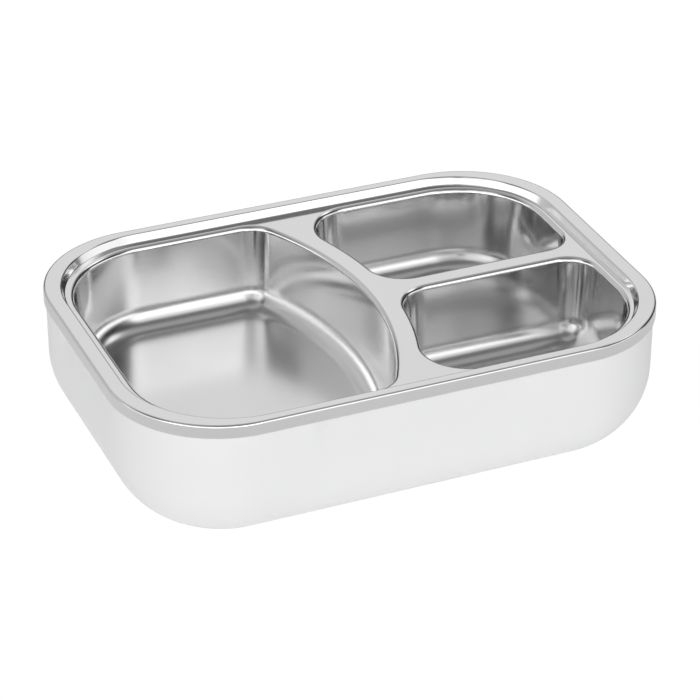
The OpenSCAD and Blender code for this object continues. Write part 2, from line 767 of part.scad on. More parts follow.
module thermostat_cap() {
    color([0.8, 0.8, 0.8]) translate([thermostat_x, 0, plate_boss_z])
        cylinder(r = thermostat_r, h = plate_boss_h);
}

module terminal_pair() {
    for (side = [0, 180]) {
        rotate([0, 0, side]) translate([-terminal_wid / 2, terminal_root, terminal_z])
            cube([terminal_wid, terminal_y - terminal_root, terminal_t]);
    }
}

module thermostat_body() {
    color([0.15, 0.15, 0.16]) translate([thermostat_x, 0, 0]) difference() {
        translate([0, 0, plate_boss_z - thermostat_h]) cylinder(r = thermostat_r - cap_lip, h = thermostat_h);
        terminal_pair();
    }
}

module thermostat_terminals() {
    color([0.85, 0.7, 0.35]) translate([thermostat_x, 0, 0]) terminal_pair();
}

module thermostat_bracket() {
    color([0.72, 0.73, 0.75]) translate([thermostat_x, 0, bracket_z]) difference() {
        union() {
            cylinder(r = thermostat_r + 1.5 * clamp_t, h = clamp_t);
            translate([-bracket_wid / 2, -bracket_boss_y - foot_reach, 0])
                cube([bracket_wid, 2 * (bracket_boss_y + foot_reach), clamp_t]);
        }
        translate([0, 0, -1]) cylinder(r = thermostat_r - bracket_lip, h = clamp_t + 2);
        for (y = [-1, 1]) {
            translate([0, y * bracket_boss_y, -1]) cylinder(d = tap_d + pass_gap, h = clamp_t + 2);
        }
    }
}

fuse_z = plate_z - sleeve_r;
fuse_len = 14;
sleeve_len = 24;
lead_len = 5;
lead_r = 0.5;
clip_wid = 6;
clip_r = sleeve_r + hold_gap;

module along_x(x, y, z, len) {
    translate([x - len / 2, y, z]) rotate([0, 90, 0]) children();
}

module thermal_fuse() {
    color([0.7, 0.7, 0.72]) {
        along_x(0, fuse_y, fuse_z, fuse_len) cylinder(r = fuse_r, h = fuse_len);
        along_x(0, fuse_y, fuse_z, 2 * lead_x) cylinder(r = lead_r, h = 2 * lead_x);
    }
}

module fuse_sleeve() {
    color([0.92, 0.92, 0.88]) difference() {
        along_x(0, fuse_y, fuse_z, sleeve_len) cylinder(r = sleeve_r, h = sleeve_len);
        along_x(0, fuse_y, fuse_z, sleeve_len + 2) cylinder(r = fuse_r, h = sleeve_len + 2);
    }
}

module fuse_clip() {
    color([0.72, 0.73, 0.75]) difference() {
        union() {
            along_x(0, fuse_y, fuse_z, clip_wid) cylinder(r = clip_r + clamp_t, h = clip_wid);
            translate([-clip_wid / 2, fuse_y, bracket_z])
                cube([clip_wid, fuse_boss_y + foot_reach - fuse_y, clamp_t]);
        }
        along_x(0, fuse_y, fuse_z, clip_wid + 2) cylinder(r = clip_r, h = clip_wid + 2);
        translate([-clip_wid, fuse_y - 2 * clip_r, fuse_z]) cube([2 * clip_wid, 3 * clip_r, 2 * clip_r]);
        translate([-clip_wid, fuse_y, plate_boss_z]) cube([2 * clip_wid, fuse_boss_y, fuse_boss_y]);
        translate([0, fuse_boss_y, bracket_z - 1]) cylinder(d = tap_d + pass_gap, h = clamp_t + 2);
    }
}

// Power inlet

inlet_back = 2;
tail_len = 8;
inlet_bottom_y = inlet_seat_y - inlet_deep;
pin_stand = 9.5;
inlet_head_d = 3.8;
inlet_head_h = 0.8;

module inlet_hole(hx, hz, y0, y1) {
    translate([0, y1, inlet_z]) rotate([90, 0, 0]) linear_extrude(y1 - y0) plan(hx, hz, hz - 0.1);
}

module power_inlet() {
    color([0.14, 0.14, 0.15]) difference() {
        union() {
            translate([0, inlet_seat_y + inlet_flange_t, inlet_z]) rotate([90, 0, 0])
                linear_extrude(inlet_flange_t) plan(inlet_flange_hx, inlet_flange_hz, 3);
            translate([0, inlet_seat_y + eps, inlet_z]) rotate([90, 0, 0])
                linear_extrude(inlet_deep + inlet_back) plan(inlet_body_hx, inlet_body_hz, 1);
        }
        inlet_hole(inlet_wid / 2, inlet_h / 2, inlet_bottom_y, inlet_seat_y + inlet_flange_t + 1);
        for (x = [-1, 1]) {
            translate([x * pin_pitch / 2, inlet_bottom_y + 1, inlet_z]) rotate([90, 0, 0])
                cylinder(d = pin_d, h = inlet_back + 2);
            translate([x * inlet_screw_x, inlet_seat_y + inlet_flange_t + 1, inlet_z]) rotate([90, 0, 0])
                cylinder(d = inlet_screw_d + pass_gap, h = inlet_flange_t + 2);
        }
    }
}

module inlet_pins() {
    color([0.85, 0.7, 0.35]) for (x = [-1, 1]) {
        translate([x * pin_pitch / 2, inlet_bottom_y + pin_stand, inlet_z]) rotate([90, 0, 0])
            cylinder(d = pin_d, h = pin_stand + inlet_back + tail_len);
    }
}

module inlet_screws() {
    color([0.6, 0.6, 0.62]) for (x = [-1, 1]) {
        translate([x * inlet_screw_x, inlet_seat_y + inlet_flange_t + inlet_head_h, inlet_z])
            rotate([90, 0, 0]) {
                cylinder(d = inlet_head_d, h = inlet_head_h);
                cylinder(d = inlet_screw_d, h = inlet_head_h + inlet_flange_t + casing_t);
            }
    }
}

// Base

foot_x = 52;
foot_y = 33;
foot_sink = 0.8;
well_hx = 40;
well_hy = 24;
well_r = 5;
well_floor = 1.8;

module base_cover() {
    color([0.9, 0.9, 0.89]) difference() {
        union() {
            slab(cover_len / 2, cover_wid / 2, cover_r, casing_z, casing_z + cover_t);
            slab(cover_len / 2 - cover_lip - cover_gap, cover_wid / 2 - cover_lip - cover_gap,
                opening_r - cover_gap, casing_z, cover_top);
        }
        slab(well_hx, well_hy, well_r, casing_z + well_floor, cover_top + 1);
        at_each(four(base_screw_x, base_screw_y)) {
            translate([0, 0, casing_z - 1]) cylinder(d = head_d + 1, h = 1 + head_h + head_sink);
            translate([0, 0, casing_z - 1]) cylinder(d = screw_d + pass_gap, h = cover_plate_t + 2);
        }
        at_each(four(foot_x, foot_y))
            translate([0, 0, casing_z - 1]) cylinder(d = foot_d + hold_gap, h = 1 + foot_sink);
    }
}

module base_screws() {
    color([0.6, 0.6, 0.62]) at_each(four(base_screw_x, base_screw_y)) {
        translate([0, 0, base_screw_z - head_h]) cylinder(d = head_d, h = head_h);
        translate([0, 0, base_screw_z - eps]) cylinder(d = screw_d, h = screw_len);
    }
}

module rubber_feet() {
    color([0.3, 0.3, 0.31]) at_each(four(foot_x, foot_y)) cylinder(d = foot_d, h = casing_z + foot_sink);
}

// Wires

wire_r = 1;
wire_sides = 8;
wire_steps = 4;

function spline(p, k, t) =
    let (a = p[max(k - 1, 0)], b = p[k], c = p[k + 1], d = p[min(k + 2, len(p) - 1)])
    0.5 * ((2 * b) + (c - a) * t + (2 * a - 5 * b + 4 * c - d) * t * t + (3 * b - a - 3 * c + d) * t * t * t);

function path(p) = concat(
    flat([for (k = [0 : len(p) - 2]) [for (t = [0 : wire_steps - 1]) spline(p, k, t / wire_steps)]]),
    [p[len(p) - 1]]);

function unit(v) = v / norm(v);

// Directions along a path. Both ends stand square to the first and the last stretch of the route.
function headings(p, route) = concat(
    [unit(route[1] - route[0])],
    [for (k = [1 : len(p) - 2]) unit(p[k + 1] - p[k - 1])],
    [unit(route[len(route) - 1] - route[len(route) - 2])]);

// Sideways directions carried along the path without twist
function carried(h, side) = unit(side - (side * h) * h);
function sides(h, k, so_far) = k == len(h) ? so_far :
    sides(h, k + 1, concat(so_far, [carried(h[k], so_far[k - 1])]));

module wire(route) {
    p = path(route);
    n = len(p);
    h = headings(p, route);
    s = sides(h, 1, [carried(h[0], [0.3, 0.2, 1])]);
    angles = [for (j = [0 : wire_sides - 1]) 360 * j / wire_sides];
    rings = [for (k = [0 : n - 1]) let (u = s[k], v = cross(h[k], u))
        [for (a = angles) p[k] + wire_r * (cos(a) * u + sin(a) * v)]];
    polyhedron(flat(rings), concat(
        strips(0, n, wire_sides, false),
        [count(0, wire_sides - 1)],
        [reversed(count((n - 1) * wire_sides, n * wire_sides - 1))]), convexity = 6);
}

tail_y = inlet_bottom_y - inlet_back - tail_len;
lead_x = sleeve_len / 2 + lead_len;
tab_x = heater_x - heater_len / 2 - tab_len;
pin_x = pin_pitch / 2;

terminal_mid = terminal_z + terminal_t / 2;
low_tab_z = stack_z + film_t + electrode_t / 2;
high_tab_z = stack_z + stack_h - film_t - electrode_t / 2;

// Straight length of a wire at its ends, the length of its bends, and its height where it runs low
wire_lead = 4;
wire_bend = 7;
wire_gap = 3.3;
wire_z = cover_top + wire_gap;
// Where wires run along the heater
run_y = fuse_y + wire_lead;

module live_wire() {
    color([0.45, 0.25, 0.15]) wire([
        [pin_x, tail_y, inlet_z],
        [pin_x, tail_y - wire_lead, inlet_z],
        [pin_x + wire_bend, tail_y - 2 * wire_lead, inlet_z],
        [lead_x + wire_bend, fuse_y + wire_bend, (inlet_z + fuse_z) / 2],
        [lead_x + 2 * wire_lead, fuse_y, fuse_z - wire_r],
        [lead_x + wire_lead, fuse_y, fuse_z],
        [lead_x, fuse_y, fuse_z]
    ]);
}

module fuse_wire() {
    color([0.8, 0.8, 0.78]) wire([
        [-lead_x, fuse_y, fuse_z],
        [-lead_x - wire_lead, fuse_y, fuse_z],
        [-lead_x - wire_bend, fuse_y + wire_r, (fuse_z + wire_z) / 2],
        [-lead_x / 2, fuse_y + 2 * wire_r, wire_z],
        [lead_x, fuse_y + wire_r, wire_z],
        [2 * lead_x, fuse_y, wire_z + wire_r],
        [thermostat_x, terminal_y + wire_lead, terminal_mid],
        [thermostat_x, terminal_y, terminal_mid]
    ]);
}

module thermostat_wire() {
    color([0.8, 0.8, 0.78]) wire([
        [thermostat_x, -terminal_y, terminal_mid],
        [thermostat_x, -terminal_y - wire_lead, terminal_mid],
        [2 * lead_x - wire_lead, -run_y, wire_z + wire_r],
        [0, -run_y - wire_r, wire_z],
        [wire_lead - 2 * lead_x, -run_y, wire_z + wire_r],
        [tab_x - wire_r, wire_bend - run_y, (wire_z + low_tab_z) / 2],
        [tab_x - wire_lead, -tab_y, low_tab_z],
        [tab_x, -tab_y, low_tab_z]
    ]);
}

module neutral_wire() {
    color([0.2, 0.35, 0.6]) wire([
        [tab_x, tab_y, high_tab_z],
        [tab_x - wire_lead, tab_y, high_tab_z],
        [tab_x - wire_lead, run_y - wire_bend, (wire_z + high_tab_z) / 2],
        [-2 * lead_x, run_y + wire_r, wire_z + wire_r],
        [-lead_x, run_y + 2 * wire_r, inlet_z - wire_r],
        [-pin_x, tail_y - wire_lead, inlet_z],
        [-pin_x, tail_y, inlet_z]
    ]);
}

outer_casing();
inner_liner();
rim_seal();
food_tray();
heating_plate();
plate_gasket();
plate_screws();
heater_tube();
ceramic_stones();
heater_electrodes();
heater_films();
heater_clamps();
bracket_screws();
thermostat_cap();
thermostat_body();
thermostat_terminals();
thermostat_bracket();
thermal_fuse();
fuse_sleeve();
fuse_clip();
power_inlet();
inlet_pins();
inlet_screws();
base_cover();
base_screws();
rubber_feet();
live_wire();
fuse_wire();
thermostat_wire();
neutral_wire();
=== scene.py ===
import json
import math

import bmesh
import bpy
import numpy as np
from mathutils import Matrix, Vector


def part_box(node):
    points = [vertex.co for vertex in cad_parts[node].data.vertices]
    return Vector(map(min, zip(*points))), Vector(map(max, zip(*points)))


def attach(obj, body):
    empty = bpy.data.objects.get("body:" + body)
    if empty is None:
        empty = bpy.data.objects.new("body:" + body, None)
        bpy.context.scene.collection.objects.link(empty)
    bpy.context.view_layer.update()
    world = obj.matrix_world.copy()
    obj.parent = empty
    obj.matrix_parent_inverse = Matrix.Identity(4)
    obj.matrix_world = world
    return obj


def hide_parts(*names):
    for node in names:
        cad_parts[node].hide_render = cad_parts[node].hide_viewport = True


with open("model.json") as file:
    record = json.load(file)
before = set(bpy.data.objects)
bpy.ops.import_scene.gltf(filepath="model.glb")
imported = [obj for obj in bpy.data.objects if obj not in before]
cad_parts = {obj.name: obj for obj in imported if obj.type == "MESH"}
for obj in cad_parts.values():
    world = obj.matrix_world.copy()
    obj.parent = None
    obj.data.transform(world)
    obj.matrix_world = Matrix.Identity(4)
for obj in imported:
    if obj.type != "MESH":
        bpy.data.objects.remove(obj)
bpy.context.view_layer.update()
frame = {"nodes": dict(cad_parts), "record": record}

MM = 0.001
nodes = frame["nodes"]
SLOT_OF = {row["node"]: row["material_slot"] for row in frame["record"]["subparts"]}

# The tray's sizes, in metres. Its step leans more than the solid's, with smaller rolls
RIM_HX, RIM_HY, RIM_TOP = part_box("food_tray")[1]
RIM_R = 46 * MM
SHEET = 0.6 * MM
SKIRT_H = 5.6 * MM
SKIRT_EDGE = 0.15 * MM
CREASE_R = 1 * MM
CREASE_INNER_R = 0.15 * MM
FLANGE_END = 6.1 * MM
FLANGE_SIDE = 4.1 * MM
FLANGE_R = 44.5 * MM
STEP_H = 3.4 * MM
STEP_R = 0.35 * MM
STEP_DRAFT = 24
DECK_Z = RIM_TOP - STEP_H
POCKET_H = 36 * MM
LIP_R = 2 * MM
FLOOR_R = 10 * MM
WALL_DRAFT = 4
LIP_X = RIM_HX - 9.5 * MM
LIP_Y = RIM_HY - 8.6 * MM
MAIN_R = 41 * MM
SIDE_R = 38 * MM
RIDGE_R = 139.5 * MM
RIDGE_X = 10 * MM
RIDGE_CX = RIDGE_X - RIDGE_R
RIDGE_W = 6.5 * MM
RIDGE_SPAN = 0.97
RIDGE_ENDS = 0.05
DIVIDER_W = 5.6 * MM
NOOKS = {"main": 15 * MM, "side": 20 * MM, "fork": 17 * MM, "end": 14 * MM}
NOOK_MIN = 4 * MM
MARGIN = 0.3 * MM
CORNER_STEPS = 24
NOOK_STEPS = 16

# The casing's sizes
CASING_HX, CASING_HY, CASING_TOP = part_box("outer_casing")[1]
CASING_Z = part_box("outer_casing")[0].z
CASING_R = RIM_R - (RIM_HX - CASING_HX)
CASING_T = 2.2 * MM
CASING_EDGE = 0.4 * MM
SWEEP_R = 33.5 * MM
SCOOP_H = 12.6 * MM
SCOOP_DEPTH = 1.6 * MM
SCOOP_SIDE = 91 * MM
SCOOP_END = 48 * MM
SCOOP_SOFT = 7 * MM
SCOOP_FOOT = RIM_TOP - SKIRT_H - SCOOP_H
SCOOP_FOOT_SOFT = 1.6 * MM
SCOOP_BROW = RIM_TOP - SKIRT_H + 1 * MM
BROW_EDGE = 0.1 * MM
BELOW_FOOT = 4 * MM
ABOVE_FOOT = 2 * MM
LEDGE_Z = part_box("rim_seal")[0].z
LEDGE_T = 3 * MM
LEDGE_REACH = 3.2 * MM
LEDGE_EDGE = 0.2 * MM
BACKING_T = 0.9 * MM
BACKING_RIM = 2 * MM
BACKING_SOFT = 0.5 * MM
BACKING_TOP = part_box("inner_liner")[1].z - 0.3 * MM
COVER_EDGE_T = 1.2 * MM
COVER_LIP = 4 * MM
COVER_GAP = 0.3 * MM
OPENING_R = 8 * MM
SEAT_R = OPENING_R + 1 * MM
BAY_GAP = 0.4 * MM
BAY_ROOF = 1 * MM
BAY_CORE_INSET = 0.7 * MM
BAY_DEPTH = 19 * MM
BAY_REACH = 0.6 * MM
BAY_EDGE = 0.35 * MM
BAY_SHARP = 35
BAY_LEVEL = 0.98

# Sizes of the inlet, screws, feet, wires and seal
INLET_FLANGE_T = 1.5 * MM
INLET_HX = 10 * MM
INLET_PLAY = 0.2 * MM
INLET_SCREW_X = 13.5 * MM
INLET_SCREW_R = 1 * MM
INLET_HEAD_R = 1.9 * MM
INLET_HEAD_H = 0.8 * MM
HEAD_H = 1.6 * MM
HEAD_ROUND = 0.6
HEAD_CROWN = 0.3
RECESS_WIDTH = 0.26
RECESS_DEPTH = 0.55
BASE_HEAD_R = 3.15 * MM
BASE_SCREW_R = 1.5 * MM
PLATE_HEAD_R = 2.8 * MM
BRACKET_HEAD_R = 2.3 * MM
BRACKET_SCREW_R = 1.25 * MM
FOOT_R = 5 * MM
FOOT_ROUND = 0.6 * MM
FOOT_CROWN = 0.12
WIRE_R = 1 * MM
WIRE_LEAD = 4 * MM
WIRE_BEND = 7 * MM
WIRE_ABOVE_COVER = 3.3 * MM
TAB_Y = 5 * MM
TAB_T = 0.4 * MM
SEAL_WIDTH = 1.45 * MM
SEAL_CORNER = 0.3 * MM

# How far the sharp edges of each piece are broken
BROKEN_EDGES = {
    "inner_liner": 0.3 * MM, "heating_plate": 0.3 * MM, "plate_gasket": 0.15 * MM,
    "heater_tube": 0.2 * MM, "ceramic_stones": 0.2 * MM, "heater_electrodes": 0.05 * MM,
    "heater_films": 0.04 * MM, "heater_clamps": 0.15 * MM, "thermostat_cap": 0.4 * MM,
    "thermostat_body": 0.3 * MM, "thermostat_terminals": 0.1 * MM, "thermostat_bracket": 0.15 * MM,
    "thermal_fuse": 0.15 * MM, "fuse_sleeve": 0.08 * MM, "fuse_clip": 0.15 * MM,
    "power_inlet": 0.25 * MM, "base_cover": 0.25 * MM,
}

# Points this close are one, and in degrees: faces this level are one, edges this sharp are broken
CAD_MERGE = 0.002 * MM
RING_MERGE = 0.001 * MM
FLAT_WITHIN = 0.3
BREAK_FROM = 32

# The photograph's camera: angles in degrees, its distance and aim from the middle of the rim, and its lens
AZIMUTH = 23.21
ELEVATION = 30.30
ROLL = 0.23
DISTANCE = 1.157
AIM_RIGHT = 0.0006
AIM_UP = -0.0249
SENSOR = 36
LENS = 147.6

# The studio's walls: from and to how many degrees right of the front, and their light low, half way and high
WALLS = {
    "back_left": (-170, -120, (0.64, 0.79, 0.62)),
    "left_gap": (-120, -77, (1.75, 0.3, 0.02)),
    "soft_box_left_edge": (-77, -56, (2.65, 1.5, 1.12)),
    "soft_box_left": (-56, -30, (2.65, 1.14, 1.12)),
    "soft_box": (-30, 15, (3.75, 0.9, 0.62)),
    "soft_box_right": (15, 38, (1.4, 1.95, 1.2)),
    "right_gap": (38, 85, (1.45, 0.02, 0.02)),
    "right": (85, 130, (0.05, 0.06, 1.66)),
    "back_right": (130, 142, (0.05, 0.5, 0.89)),
    "back": (142, 172, (0.05, 1.06, 0.89)),
    "back_edge": (172, 180, (0.05, 0.6, 0.89)),
}
WALL_SOFT = 3
BRIGHTEST = 4.0

# Where one height gives way to the next, as the upward part of the direction
LOW_TO_MIDDLE = (0.28, 0.40)
MIDDLE_TO_HIGH = (0.58, 0.70)
HIGH_TO_CEILING = (0.75, 0.85)

# The ceiling is darker in front of this edge. The camera's stand is a small dark spot
CEILING_EDGE = (-0.25, -0.1)
CEILING_GAP = 0.2
CEILING_LIGHT = 0.455
STAND_WAY = (-0.34, -0.79, 0.50)
STAND_CONE = (0.9955, 0.9985)
STAND_LIGHT = 0.06

# The paper behind and below, and the floor's grey and glow, first for the object and then for the camera
PAPER_LIGHT = 1.05
FLOOR_HALF = 3.0
FLOOR_Z = -0.02 * MM
FLOOR_SHEETS = ((0.80, 0.23), (0.10, 0.96))

# The part of the noise that changes the roughness, and the depth of the fine relief
CLOUD_LOW = 0.3
CLOUD_HIGH = 0.7
RELIEF = 0.2 * MM


# Node trees, for materials, the studio and Geometry Nodes

def feed(tree, socket, value):
    if isinstance(value, bpy.types.NodeSocket):
        tree.links.new(value, socket)
    else:
        socket.default_value = value


def add(tree, kind, settings=None, **sockets):
    """A new node. Its sockets, by name or as _number, take a number, a vector or another node's output."""
    node = tree.nodes.new(kind)
    for label, value in (settings or {}).items():
        setattr(node, label, value)
    for label, value in sockets.items():
        key = int(label[1:]) if label[0] == "_" else label.replace("_", " ")
        feed(tree, node.inputs[key], value)
    return node


def step(tree, kind, settings=None, **sockets):
    """The first output of a new node."""
    return add(tree, kind, settings, **sockets).outputs[0]


def sums(tree, operation, first, second=0.0):
    return step(tree, "ShaderNodeMath", {"operation": operation}, _0=first, _1=second)


def ramp_between(tree, value, low, high, to_low=0.0, to_high=1.0):
    """A smooth step of a value, from to_low under low up to to_high over high."""
    return step(tree, "ShaderNodeMapRange", {"interpolation_type": "SMOOTHSTEP"}, Value=value,
                From_Min=low, From_Max=high, To_Min=to_low, To_Max=to_high)


def mixed(tree, share, first, second, kind="FLOAT"):
    node = add(tree, "ShaderNodeMix", {"data_type": kind}, Factor=share, A=first, B=second)
    return node.outputs["Result"]


def by_ray(tree, lit, seen):
    """One shader that lights the object, and another that the camera sees."""
    ray = add(tree, "ShaderNodeLightPath").outputs["Is Camera Ray"]
    return step(tree, "ShaderNodeMixShader", _0=ray, _1=lit, _2=seen)


def new_tree(kind, name, inputs, outputs):
    """A node group. Each input and output is its name, its kind of socket and, if wanted, its first value."""
    tree = bpy.data.node_groups.new(name, kind)
    for side, rows in (("INPUT", inputs), ("OUTPUT", outputs)):
        for label, socket_kind, *value in rows:
            socket = tree.interface.new_socket(label, in_out=side, socket_type=socket_kind)
            if value:
                socket.default_value = value[0]
    return tree, tree.nodes.new("NodeGroupInput").outputs, tree.nodes.new("NodeGroupOutput").inputs


NUMBER = "NodeSocketFloat"
COLOUR = "NodeSocketColor"
VECTOR = "NodeSocketVector"
GEOMETRY = "NodeSocketGeometry"


def grey(value):
    return (value, value, value, 1)


# Pieces

def new_piece(name, vertices, faces, edges=()):
    mesh = bpy.data.meshes.new(name)
    mesh.from_pydata([tuple(v) for v in vertices], list(edges), faces)
    mesh.update()
    piece = bpy.data.objects.new(name, mesh)
    bpy.context.scene.collection.objects.link(piece)
    return piece


def smooth(piece, sharp_from):
    piece.data.shade_smooth()
    piece.data.set_sharp_from_angle(angle=math.radians(sharp_from))


def settle(piece):
    """Makes the modifiers of a piece part of its mesh."""
    graph = bpy.context.evaluated_depsgraph_get()
    mesh = bpy.data.meshes.new_from_object(piece.evaluated_get(graph), depsgraph=graph)
    piece.modifiers.clear()
    piece.data = mesh


def dress(piece, node, body="base"):
    """Lets a piece stand for a CAD node, in that node's finish and on its body."""
    slot = SLOT_OF[node]
    piece.data.materials.clear()
    piece.data.materials.append(FINISHES[slot])
    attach(piece, body)
    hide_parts(node)


# Camera, light and ground

def photo_camera():
    azimuth, elevation, roll = (math.radians(angle) for angle in (AZIMUTH, ELEVATION, ROLL))
    flat = math.cos(elevation)
    forward = Vector((math.sin(azimuth) * flat, math.cos(azimuth) * flat, -math.sin(elevation)))
    level = Vector((math.cos(azimuth), -math.sin(azimuth), 0))
    upright = level.cross(forward)
    right = level * math.cos(roll) + upright * math.sin(roll)
    up = upright * math.cos(roll) - level * math.sin(roll)
    place = Vector((0, 0, RIM_TOP)) - forward * DISTANCE + right * AIM_RIGHT + up * AIM_UP
    data = bpy.data.cameras.new("photo_camera")
    data.sensor_width = SENSOR
    data.lens = LENS
    data.clip_start = 10 * MM
    camera = bpy.data.objects.new("photo_camera", data)
    turn = Matrix((right, up, -forward)).transposed().to_4x4()
    camera.matrix_world = Matrix.Translation(place) @ turn
    bpy.context.scene.collection.objects.link(camera)
    bpy.context.scene.camera = camera


def around(tree, compass, height):
    """The light that the studio's walls give at one of their three heights, by compass direction."""
    ramp = add(tree, "ShaderNodeValToRGB", _0=compass)
    ramp.color_ramp.interpolation = "B_SPLINE"
    stops = ramp.color_ramp.elements
    while len(stops) > 1:
        stops.remove(stops[-1])
    sectors = sorted(WALLS.values())
    sectors.insert(0, (-180, sectors[0][0], sectors[-1][2]))
    for low, high, light in sectors:
        for angle in (low + WALL_SOFT, high - WALL_SOFT):
            at = (angle + 180) / 360
            stop = stops[0] if angle == WALL_SOFT - 180 else stops.new(at)
            stop.position = at
            stop.color = grey(light[height] / BRIGHTEST)
    return sums(tree, "MULTIPLY", ramp.outputs[0], BRIGHTEST)


def stand_spot(tree, way):
    """How much of the light is left where the camera's stand is in the way."""
    along = add(tree, "ShaderNodeVectorMath", {"operation": "DOT_PRODUCT"}, _0=way,
                _1=Vector(STAND_WAY).normalized())
    inside = ramp_between(tree, along.outputs["Value"], *STAND_CONE)
    return ramp_between(tree, inside, 0.0, 1.0, 1.0, STAND_LIGHT)


def studio_world():
    """A pale studio: its walls at three heights, its ceiling and the camera's stand."""
    world = bpy.data.worlds.new("studio")
    bpy.context.scene.world = world
    world.use_nodes = True
    tree = world.node_tree
    tree.nodes.clear()
    way = add(tree, "ShaderNodeTexCoord").outputs["Generated"]
    parts = add(tree, "ShaderNodeSeparateXYZ", _0=way).outputs
    turn = sums(tree, "ARCTAN2", parts["X"], sums(tree, "MULTIPLY", parts["Y"], -1.0))
    compass = sums(tree, "ADD", sums(tree, "MULTIPLY", turn, 0.5 / math.pi), 0.5)
    total, half_way, high = (around(tree, compass, height) for height in range(3))
    ceiling = ramp_between(tree, parts["Y"], *CEILING_EDGE, CEILING_GAP, CEILING_LIGHT)
    for edge, light in ((LOW_TO_MIDDLE, half_way), (MIDDLE_TO_HIGH, high), (HIGH_TO_CEILING, ceiling)):
        total = mixed(tree, ramp_between(tree, parts["Z"], *edge), total, light)
    total = sums(tree, "MULTIPLY", total, stand_spot(tree, way))
    light = step(tree, "ShaderNodeBackground", Strength=total)
    paper = step(tree, "ShaderNodeBackground", Strength=PAPER_LIGHT)
    add(tree, "ShaderNodeOutputWorld", Surface=by_ray(tree, light, paper))


def ground():
    corners = [(x * FLOOR_HALF, y * FLOOR_HALF, FLOOR_Z) for x, y in ((-1, -1), (1, -1), (1, 1), (-1, 1))]
    floor = new_piece("ground", corners, [(0, 1, 2, 3)])
    paint = bpy.data.materials.new("white_paper")
    paint.use_nodes = True
    tree = paint.node_tree
    tree.nodes.clear()
    sheets = []
    for colour, strength in FLOOR_SHEETS:
        matt = step(tree, "ShaderNodeBsdfDiffuse", Color=grey(colour))
        glow = step(tree, "ShaderNodeEmission", Strength=strength)
        sheets.append(step(tree, "ShaderNodeAddShader", _0=matt, _1=glow))
    add(tree, "ShaderNodeOutputMaterial", Surface=by_ray(tree, *sheets))
    floor.data.materials.append(paint)


# Finishes

def cloudy_group():
    """Soft blotches and fine grain: a colour, a roughness and a height that wander a little."""
    tree, given, out = new_tree("ShaderNodeTree", "cloudy_surface", [
        ("Colour", COLOUR, grey(0.8)), ("Darker", COLOUR, grey(0.7)), ("Blotch Scale", NUMBER, 40.0),
        ("Grain Scale", NUMBER, 1500.0), ("Roughness", NUMBER, 0.4), ("Spread", NUMBER, 0.06),
    ], [("Colour", COLOUR), ("Roughness", NUMBER), ("Height", NUMBER)])
    place = add(tree, "ShaderNodeTexCoord").outputs["Object"]
    blotch = step(tree, "ShaderNodeTexNoise", Vector=place, Scale=given["Blotch Scale"], Detail=3)
    grain = step(tree, "ShaderNodeTexNoise", Vector=place, Scale=given["Grain Scale"], Detail=2)
    low = sums(tree, "SUBTRACT", given["Roughness"], given["Spread"])
    high = sums(tree, "ADD", given["Roughness"], given["Spread"])
    rough = step(tree, "ShaderNodeMapRange", Value=blotch, From_Min=CLOUD_LOW, From_Max=CLOUD_HIGH,
                 To_Min=low, To_Max=high)
    feed(tree, out["Colour"], mixed(tree, blotch, given["Colour"], given["Darker"], "RGBA"))
    feed(tree, out["Roughness"], rough)
    feed(tree, out["Height"], sums(tree, "ADD", blotch, grain))
    return tree


def rolled_group():
    """Fine straight scratches along one axis, for rolled and drawn metal."""
    tree, given, out = new_tree("ShaderNodeTree", "rolled_grain", [
        ("Stretch", VECTOR, (1.0, 30.0, 30.0)), ("Scale", NUMBER, 60.0)], [("Grain", NUMBER)])
    place = add(tree, "ShaderNodeTexCoord").outputs["Object"]
    pulled = step(tree, "ShaderNodeVectorMath", {"operation": "MULTIPLY"}, _0=place, _1=given["Stretch"])
    lines = step(tree, "ShaderNodeTexNoise", Vector=pulled, Scale=given["Scale"], Detail=4)
    feed(tree, out["Grain"], lines)
    return tree


CLOUDY = cloudy_group()
ROLLED = rolled_group()


def finish(name, colour, darker, roughness, spread=0.05, metallic=0.0, blotch=40, grain=1500, bump=0.02,
           lines=None, polish=None, **sockets):
    """A material whose colour, roughness and surface wander over the piece.

    lines adds rolled grain, stretched along an axis. polish is two heights, between which the roughness
    falls to the part that it names last.
    """
    material = bpy.data.materials.new(name)
    material.use_nodes = True
    tree = material.node_tree
    surface = add(tree, "ShaderNodeGroup", {"node_tree": CLOUDY}, Colour=colour, Darker=darker,
                  Blotch_Scale=blotch, Grain_Scale=grain, Roughness=roughness, Spread=spread).outputs
    rough, relief = surface["Roughness"], surface["Height"]
    if polish:
        low, high, left = polish
        place = add(tree, "ShaderNodeTexCoord").outputs["Object"]
        height = add(tree, "ShaderNodeSeparateXYZ", _0=place).outputs["Z"]
        rough = sums(tree, "MULTIPLY", rough, ramp_between(tree, height, low, high, 1.0, left))
    if lines:
        scratches = step(tree, "ShaderNodeGroup", {"node_tree": ROLLED}, Stretch=lines)
        relief = sums(tree, "ADD", relief, scratches)
    normal = step(tree, "ShaderNodeBump", Strength=bump, Distance=RELIEF, Height=relief)
    sockets |= {"Metallic": metallic, "Base_Color": surface["Colour"], "Roughness": rough, "Normal": normal}
    shader = tree.nodes["Principled BSDF"]
    for label, value in sockets.items():
        feed(tree, shader.inputs[label.replace("_", " ")], value)
    return material


